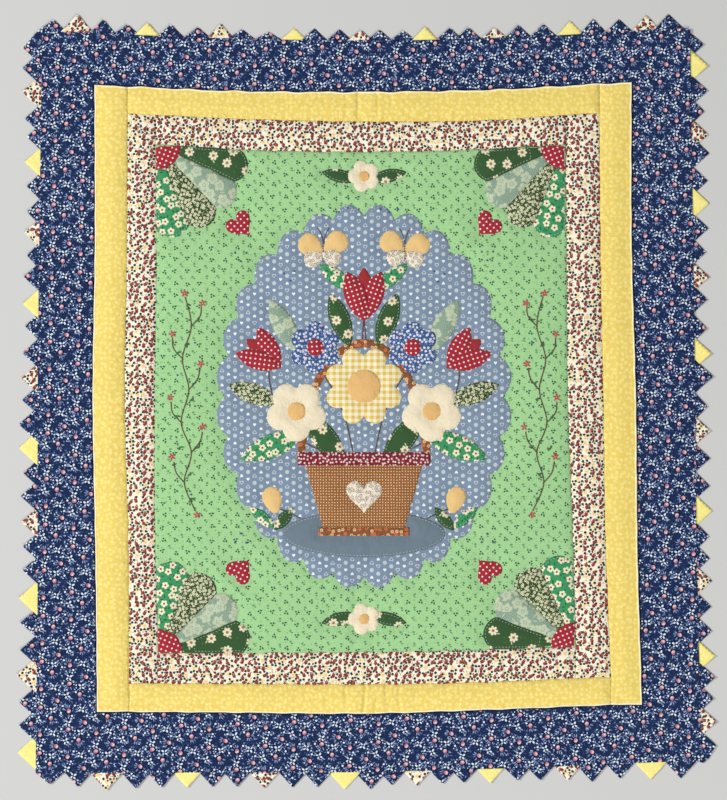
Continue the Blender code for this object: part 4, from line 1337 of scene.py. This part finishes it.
for make_effect in (
    make_scattered_motifs, make_nearest_spot, make_oval_spot, make_petals, make_ring_of_dots,
    make_printed_heart, make_half_drop_lattice, make_plain_weave, make_drawn_cloth,
):
    make_effect()
SCATTERED = [name for name in PRINTS if name not in ("navy", "yellow")]
CLOTHS = {name: cotton(f"{name}_cotton", print_from(*PRINTS[name])) for name in SCATTERED}
CLOTHS.update({
    "navy": cotton("navy_cotton", navy_print, gloss=0.45),
    "yellow": cotton("yellow_cotton", yellow_print, relief=1.8),
    "backing": cotton("backing_cotton", plain(236, 228, 208), 0.6 * MM),
    "sky": cotton("blue_heart_cotton", sky_print),
    "gingham": cotton("yellow_gingham", gingham_print),
    "slate": cotton("slate_cotton", slate_cloth, 0.7 * MM),
    "cream": cotton("cream_cotton", plain(248, 236, 206), relief=1.6),
    "orange": cotton("orange_cotton", plain(238, 192, 124), relief=1.4),
    "tan": cotton("tan_cotton", plain(242, 204, 136)),
    "plain_red": cotton("plain_red_cotton", plain(166, 44, 50)),
})


# Making and laying pieces

def mesh_data(name, mesh):
    data = bpy.data.meshes.new(name)
    mesh.to_mesh(data)
    mesh.free()
    return data


def put_in_scene(name, data):
    thing = bpy.data.objects.new(name, data)
    bpy.context.scene.collection.objects.link(thing)
    return thing


def open_edges(mesh):
    return [edge for edge in mesh.edges if edge.is_boundary]


def close_below(mesh):
    """Gives an open face piece its side walls and one face below, whose points it marks as below."""
    for item in bmesh.ops.extrude_edge_only(mesh, edges=open_edges(mesh))["geom"]:
        if isinstance(item, bmesh.types.BMVert):
            item.co.z = BELOW
    bottom = bmesh.ops.contextual_create(mesh, geom=open_edges(mesh))
    bmesh.ops.recalc_face_normals(mesh, faces=mesh.faces[:])
    return bottom["faces"]


def are_below(points):
    return points[:, 2] < BELOW / 2


def made_piece(name, mesh, cloths):
    data = mesh_data(name, mesh)
    for cloth in cloths:
        data.materials.append(CLOTHS[cloth])
    data.shade_smooth()
    return put_in_scene(name, data)


def points_array(piece):
    flat = np.zeros(len(piece.data.vertices) * 3)
    piece.data.vertices.foreach_get("co", flat)
    return flat.reshape(-1, 3)


def lay(piece, points, drawn, turn=0.0, painted_light=None):
    """Puts a piece's points in place, and gives its cloth its grain, the pull of its stitches with the
    shade painted near them, and the light or shade painted at its edge.
    """
    data = piece.data
    data.vertices.foreach_set("co", points.ravel())
    for name, values in (("drawn_in", drawn), ("painted_edge_light", painted_light)):
        if values is not None:
            data.attributes.new(name, "FLOAT", "POINT").data.foreach_set("value", values)
    corners = np.zeros(len(data.loops), int)
    data.loops.foreach_get("vertex_index", corners)
    cos, sin = np.cos(turn), np.sin(turn)
    x, y = points[:, 0] + PRINT_START, points[:, 1] + PRINT_START
    grain_lines = np.stack((x * cos + y * sin, y * cos - x * sin), axis=1)
    data.uv_layers.new(name="cloth").data.foreach_set("uv", grain_lines[corners].ravel())
    data.update()


def spaced(length, cell):
    """Stations across a cloth, as parts of its width, closer together at both edges."""
    last = EDGE_STATIONS[-1]
    count = max(1, round((length - 2 * last) / cell))
    middle = [mix(last, length - last, step / count) for step in range(1, count)]
    return np.array(EDGE_STATIONS + middle + [length - place for place in reversed(EDGE_STATIONS)]) / length


def laid_cloth(name, bounds, size, cell, cloth, face, *details):
    """A cloth between four seam lines, with its puffed or rippled face and a flat underside."""
    across, up = (spaced(length, cell) for length in size)
    mesh = bmesh.new()
    bmesh.ops.create_grid(mesh, x_segments=len(across) - 1, y_segments=len(up) - 1, size=0.5)
    for underside in close_below(mesh):
        underside.material_index = 1
    piece = made_piece(name, mesh, (cloth, "navy" if cloth == "navy" else "backing"))
    points = points_array(piece)
    column = np.rint((points[:, 0] + 0.5) * (len(across) - 1)).astype(int)
    row = np.rint((points[:, 1] + 0.5) * (len(up) - 1)).astype(int)
    x, y = places_between(bounds, across[column], up[row])
    level, drawn, *painted_light = face(x, y, *details)
    level = np.where(are_below(points), 0.0, level)
    lay(piece, np.stack((x, y, level), axis=1), drawn, 0.0, *painted_light)
    return piece


def cut_cloth(outline, folds, cell):
    """A flat piece of cloth cut to an outline, with its turned edge marked and cells to shape it by."""
    mesh = bmesh.new()
    bmesh.ops.create_circle(mesh, cap_ends=True, segments=len(outline), radius=1.0)
    mesh.verts.ensure_lookup_table()
    for vert, (x, y) in zip(mesh.verts, outline):
        vert.co = (x, y, 0)
    for fold in folds:
        inner = [face for face in mesh.faces if not any(edge.is_boundary for edge in face.edges)]
        bmesh.ops.inset_region(mesh, faces=inner or mesh.faces[:], thickness=fold, use_even_offset=True)
    low, high = np.min(outline, axis=0), np.max(outline, axis=0)
    for axis, normal in ((0, (1, 0, 0)), (1, (0, 1, 0))):
        for place in np.arange(low[axis] + cell / 2, high[axis], cell):
            point = [0.0, 0.0, 0.0]
            point[axis] = place
            geometry = mesh.verts[:] + mesh.edges[:] + mesh.faces[:]
            bmesh.ops.bisect_plane(mesh, geom=geometry, dist=0.05 * MM, plane_co=point, plane_no=normal)
    return mesh


def sewn_patch(index):
    """One appliqué patch, shaped over the panel and the patches below it."""
    outline, cloth, turn = PATCHWORK[index]
    mesh = cut_cloth(outline, PATCH_FOLDS, PATCH_CELL)
    close_below(mesh)
    piece = made_piece(f"patch_{index:02d}", mesh, (cloth,))
    points = points_array(piece)
    x, y = points[:, 0], points[:, 1]
    level, drawn = panel_face(x, y)
    level = level + PATCH_LAYER * (1 + layers_at(x, y, index, DRAPE_REACH))
    edge = np.clip(from_outline(outline, x, y) / PATCH_ROUND, 0.0, 1.0)
    level -= PATCH_DROP * (1 - edge) ** 2
    points[:, 2] = np.where(are_below(points), PATCH_FOOT, level)
    lay(piece, points, drawn, turn)
    return piece


def joined(name, pieces):
    """Several pieces of one cloth made into one."""
    with bpy.context.temp_override(active_object=pieces[0], selected_editable_objects=pieces):
        bpy.ops.object.join()
    pieces[0].name = name
    pieces[0].data.name = name
    return pieces[0]


def thread_work(name, stitches, material):
    """Small stitches of thread: place, height, direction, length, width and rise of each."""
    mesh = bmesh.new()
    bmesh.ops.create_uvsphere(mesh, u_segments=6, v_segments=4, radius=0.5)
    stitch = mesh_data(f"{name}_one", mesh)
    stitch.materials.append(material)
    stitch.shade_smooth()
    whole = put_in_scene(name, bpy.data.meshes.new(name))
    copies = [whole]
    for index, (x, y, z, angle, length, width, rise) in enumerate(stitches):
        copy = put_in_scene(f"{name}_{index}", stitch)
        copy.location = (x, y, z)
        copy.rotation_euler.z = angle
        copy.scale = (length, width, rise)
        copies.append(copy)
    bpy.context.view_layer.update()
    joined(name, copies)
    bpy.data.meshes.remove(stitch)
    return whole


# The centre panel

def make_patches():
    by_cloth = {}
    for index, (_, cloth, _) in enumerate(PATCHWORK):
        by_cloth.setdefault(cloth, []).append(sewn_patch(index))
    return [joined(f"{cloth}_patches", pieces) for cloth, pieces in by_cloth.items()]


def inset_line(outline, distance):
    """An outline drawn a distance inside another, without the corners at which it would cross itself."""
    moved = []
    for index, (x, y) in enumerate(outline):
        before, after = outline[index - 1], outline[(index + 1) % len(outline)]
        along_x, along_y = after[0] - before[0], after[1] - before[1]
        length = math.hypot(along_x, along_y) or 1.0
        moved.append((x - along_y / length * distance, y + along_x / length * distance))
    clear = from_outline(outline, *x_and_y(moved)) > distance * 0.8
    return [place for place, kept in zip(moved, clear) if kept]


def running_stitches():
    """The quilting inside the edges of the green and slate patches, and of the oval."""
    quilted = [index for index, (_, cloth, _) in enumerate(PATCHWORK) if cloth in QUILTED_CLOTHS]
    stitches = []
    for index, inset in [(index, STITCH_INSET) for index in quilted] + [(OVAL, OVAL_INSET)]:
        line = inset_line(PATCHWORK[index][0], inset)
        if len(line) >= FEWEST_CORNERS:
            places = not_covered(along_line(line, STITCH_PITCH), index)
            stitches += [(x, y, angle) for x, y, angle, _ in places]
    return stitches


def stitched(places, length, width, rise):
    """Stitches on top of whatever lies at some places, a little uneven in length and direction."""
    level = top_of_patches(*x_and_y(places))
    made = []
    for index, ((x, y, angle), z) in enumerate(zip(places, level)):
        turn = angle + 0.12 * uneven(index, 1)
        size = length * (1 + 0.18 * uneven(index, 2))
        made.append((x, y, z + rise * 0.1, turn, size, width, rise))
    return made


def curve_places(places, step):
    """Evenly spaced places on a smooth curve through a stem's places."""
    parts = np.linspace(0, 1, CURVE_STEPS * len(places))
    x, y = ([place[axis] * MM for place in places] for axis in (0, 1))
    line = list(zip(curve_through(x, parts).tolist(), curve_through(y, parts).tolist()))
    return along_line(line, step, closed=False)


def embroidery():
    """The places and directions of all stitches, by the names of their pieces."""
    stems, petals, centres, knots, leaves, butterflies = [], [], [], [], [], []
    for side in (1, -1):
        for stem in STEMS:
            for x, y, angle, _ in not_covered(curve_places(stem, STEM_STITCH), OVAL):
                stems.append((side * x, y, (angle if side > 0 else math.pi - angle) + STEM_LEAN))
        for index, (x, y) in enumerate(STITCHED_FLOWERS):
            x, y = side * (x + 1.2 * uneven(index, side)) * MM, (y + 1.5 * uneven(index, 5)) * MM
            centres.append((x, y, 0.0))
            for way in full_turn(PETALS_EACH):
                angle = way + 0.9 * uneven(index, side)
                petals.append((x + PETAL_REACH * math.cos(angle), y + PETAL_REACH * math.sin(angle), angle))
        for index, (x, y) in enumerate(KNOTS):
            knots.append((side * x * MM, (y + uneven(index, side)) * MM, index))
        for x, y, turn in SMALL_LEAVES:
            angle = math.radians(turn if side > 0 else 180 - turn)
            leaves.append((side * x * MM, y * MM, angle))
            leaves.append((side * x * MM + SECOND_LEAF[0], y * MM + SECOND_LEAF[1], angle + 0.8))
        for lean in (-1, 1):
            feeler = [(BUTTERFLY_MIDDLE * side + lean * out, up) for out, up in FEELERS]
            butterflies += [(x, y, angle + 0.15) for x, y, angle, _ in curve_places(feeler, STEM_STITCH)]
        for step in range(BODY_STITCHES):
            butterflies.append((BUTTERFLY_MIDDLE * side * MM, (BODY_LOW + BODY_STEP * step) * MM, 0.0))
    return {
        "running_stitches": running_stitches(),
        "stitched_stems": stems,
        "butterfly_bodies": butterflies,
        "stitched_petals": petals,
        "stitched_centres": centres,
        "blue_knots": knots,
        "stitched_leaves": leaves,
    }


def make_threads():
    materials = {name: thread(name, *colour) for name, colour in THREADS.items()}
    made = []
    for name, places in embroidery().items():
        material, *size = STITCHES[name]
        stitches = stitched(places, *(value * MM for value in size))
        made.append(thread_work(name, stitches, materials[material]))
    return made


# The borders and the prairie points

def strip_bounds(inner, outer):
    """The four lines around each strip of a border; the side strips run its full height."""
    return {
        "left": ((outer, "left"), (inner, "left"), (outer, "bottom"), (outer, "top")),
        "right": ((inner, "right"), (outer, "right"), (outer, "bottom"), (outer, "top")),
        "bottom": ((inner, "left"), (inner, "right"), (outer, "bottom"), (inner, "bottom")),
        "top": ((inner, "left"), (inner, "right"), (inner, "top"), (outer, "top")),
    }


def make_border(inner, outer, name, cell):
    """A border's four strips, which stand for the solids of the same name, and their flat sizes."""
    strips = {}
    wide = FRAME_MARGINS[outer] - FRAME_MARGINS[inner]
    face = navy_face if name == "navy" else strip_face
    for index, (side, bounds) in enumerate(strip_bounds(inner, outer).items()):
        upright = side not in LEVEL_SIDES
        size = (PANEL_WIDTH + 2 * FRAME_MARGINS[inner], wide)
        if upright:
            size = (wide, PANEL_HEIGHT + 2 * FRAME_MARGINS[outer])
        seed = 3.1 * index + wide * 40
        strip = laid_cloth(f"{name}_border_{side}", bounds, size, cell, name, face, bounds, upright, seed)
        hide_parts(f"{name}_strip_{side}")
        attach(strip, "root")
        strips[side] = (strip, size)
    return strips


def row_place(side, along, out):
    """The place at a distance outside the points' base line."""
    line = float(seam(("points", side), along))
    away = line + math.copysign(1.0, line) * out
    return (along, away) if side in LEVEL_SIDES else (away, along)


def points_of(side):
    """Each point of a side, clockwise round the quilt: number, place along the side, reach, cloth."""
    first_coloured, colour, places, reaches = POINT_ROWS[side]
    cloths = (colour, "flowered" if colour == "yellow" else "yellow")
    points = []
    for index, (place, reach) in enumerate(zip(places, reaches)):
        turn, between = divmod(index - first_coloured, COLOURED_EVERY)
        points.append((index + 1, place * MM, reach * MM, "navy" if between else cloths[turn % 2]))
    return points[::-1] if side in ("bottom", "left") else points


def crossing(upright, level):
    """Where a side line and a level line of the patchwork cross."""
    x, y = 0.0, 0.0
    for _ in range(4):
        x, y = float(seam(upright, y)), float(seam(level, x))
    return x, y


def row_corner(side, end):
    """The outer and the inner corner of a row's root at one of its ends."""
    if side in LEVEL_SIDES:
        beside, beyond, joint = (size * MM for size in CORNERS[side, end])
        x, y = crossing(("points", end), ("points", side))
        inner_x, inner_y = crossing(("points", end), ("navy", side))
        outer_corner = (x + OUTWARD[end] * beside, y + OUTWARD[side] * beyond)
        return outer_corner, (inner_x + OUTWARD[end] * joint, inner_y)
    joint = CORNERS[end, side][2] * MM * OUTWARD[side]
    x, y = crossing(("points", side), ("navy", end))
    return (x + joint, y), crossing(("navy", side), ("navy", end))


def folded_point(side, point, start, end, corners):
    """A prairie point: a folded triangle, whose root goes under the navy border's edge."""
    number, place, reach, cloth = point
    rim = [(start, -ROOT_STRIP), (start, 0.0), (place, reach), (end, 0.0), (end, -ROOT_STRIP)]
    outline = [row_place(side, *corner) for corner in rim]
    axis = 0 if side in LEVEL_SIDES else 1
    first, last = corners
    if first:
        outline[:2] = [first[1], first[0]] + ([] if start == first[0][axis] else [outline[1]])
    if last:
        outline[-2:] = ([] if end == last[0][axis] else [outline[-2]]) + [last[0], last[1]]
    area = sum(a[0] * b[1] - b[0] * a[1] for a, b in zip(outline, outline[1:] + outline[:1]))
    if area < 0:
        outline.reverse()
    mesh = cut_cloth(outline, POINT_FOLDS, POINT_CELL)
    tip_x, tip_y = row_place(side, place, reach)
    tip = min(mesh.verts, key=lambda vert: math.hypot(vert.co.x - tip_x, vert.co.y - tip_y))
    toward = Vector((*row_place(side, place, 0.0), 0.0)) - tip.co
    tip.co += toward.normalized() * TIP_ROUND
    close_below(mesh)
    piece = made_piece(f"point_{side}_{number:02d}", mesh, (POINT_CLOTHS[cloth],))
    points = points_array(piece)
    x, y = points[:, 0], points[:, 1]
    along = y if axis else x
    part = np.clip((along - start) / (end - start), 0.0, 1.0)
    out = -inside_of(("points", side), x, y)
    edge = from_outline(outline, x, y)
    raised = POINT_STEP * (1 - part) ** 1.5
    lifted = (0.8 + 0.8 * uneven(number, len(side))) * MM * np.clip(out / reach, 0.0, 1.0) ** 2
    under = raised + lifted
    level = under + POINT_RIM + POINT_PUFF * rounded_rise(edge, POINT_ROUND)
    level += 0.3 * MM * grain(x, y, 9 * MM, number)
    tucked = out < TUCKED_REACH
    level = np.where(tucked, np.minimum(level, TUCKED_HEIGHT), level)
    points[:, 2] = np.where(are_below(points), np.where(tucked, 0.0, under), level)
    # near its edges a point looks drawn in and has shade painted on it
    lay(piece, points, 0.5 * fading(edge, 3 * MM), 0.8 * uneven(number, 4) + math.pi / 4)
    return piece


def make_points():
    """All prairie points: each side's navy ones together, and those of each other cloth."""
    rows = {"yellow": [], "flowered": []}
    nodes = {"yellow": [], "flowered": []}
    for side in POINT_ROWS:
        way = 1 if side in ("top", "left") else -1
        points = points_of(side)
        ends = [row_corner(side, end) for end in CLOCKWISE[side]]
        first, last = (corner[0][0 if side in LEVEL_SIDES else 1] for corner in ends)
        navy_row = []
        for index, point in enumerate(points):
            number, place, reach, cloth = point
            half = max(POINT_SPREAD * reach, LEAST_HALF_BASE)
            start, end = place - way * half, place + way * half
            corners = [None, None]
            if index == 0 and way * (start - first) < LEAST_NOTCH:
                start = first
            if index == len(points) - 1 and way * (last - end) < LEAST_NOTCH:
                end = last
            if cloth == "navy":
                corners = [ends[0] if index == 0 else None, ends[1] if index == len(points) - 1 else None]
            piece = folded_point(side, point, start, end, corners)
            if cloth == "navy":
                navy_row.append(piece)
            else:
                rows[cloth].append(piece)
                nodes[cloth].append(f"point_{side}_{number:02d}_{cloth}")
        row = joined(f"navy_points_{side}", navy_row)
        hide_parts(f"points_{side}")
        rows[side] = row
    for cloth in ("yellow", "flowered"):
        rows[cloth] = joined(f"{cloth}_points", rows[cloth])
        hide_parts(*nodes[cloth])
    for cloth, row in rows.items():
        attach(row, "root")
    return rows


def make_quilt():
    size = (PANEL_WIDTH, PANEL_HEIGHT)
    panel = laid_cloth("centre_panel_cloth", PANEL_BOUNDS, size, PANEL_CELL, "panel", panel_face)
    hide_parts("centre_panel")
    on_panel = make_patches() + make_threads()
    for piece in [panel] + on_panel:
        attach(piece, "root")
    points = make_points()
    for inner, outer, name, cell in BORDERS:
        for side, (strip, flat) in make_border(inner, outer, name, cell).items():
            beside = [points[side]] if name == "navy" else []
            if name == "navy" and side == "top":
                beside += [points["yellow"], points["flowered"]]


# The studio

def make_studio():
    mesh = bmesh.new()
    bmesh.ops.create_grid(mesh, x_segments=1, y_segments=1, size=FLOOR_HALF)
    data = mesh_data("floor", mesh)
    floor = put_in_scene("floor", data)
    floor.location.z = -FLOOR_GAP
    paint, shader, tree = new_material("pale_floor")
    tree.feed_named(shader, {"Base Color": FLOOR_PAINT, "Roughness": 0.95})
    data.materials.append(paint)
    for name, place, size, power in LIGHTS:
        light = bpy.data.lights.new(name, "AREA")
        light.shape = "DISK"
        light.size = size
        light.energy = power
        lamp = put_in_scene(name, light)
        lamp.location = place
        lamp.rotation_euler = (-Vector(place)).to_track_quat("-Z", "Y").to_euler()
    world = bpy.data.worlds.new("studio")
    world.use_nodes = True
    sky = world.node_tree.nodes["Background"]
    sky.inputs["Color"].default_value = SKY_LIGHT
    sky.inputs["Strength"].default_value = SKY_STRENGTH
    bpy.context.scene.world = world
    bpy.context.scene.view_settings.view_transform = "Standard"


def make_camera():
    """Straight above, so that one pixel of the 727 by 800 picture takes 1.6 mm of the quilt."""
    camera = bpy.data.cameras.new("camera")
    camera.sensor_width = 36
    camera.lens = 112.5
    rig = put_in_scene("camera", camera)
    rig.location = CAMERA_PLACE
    bpy.context.scene.camera = rig


make_quilt()
make_studio()
make_camera()
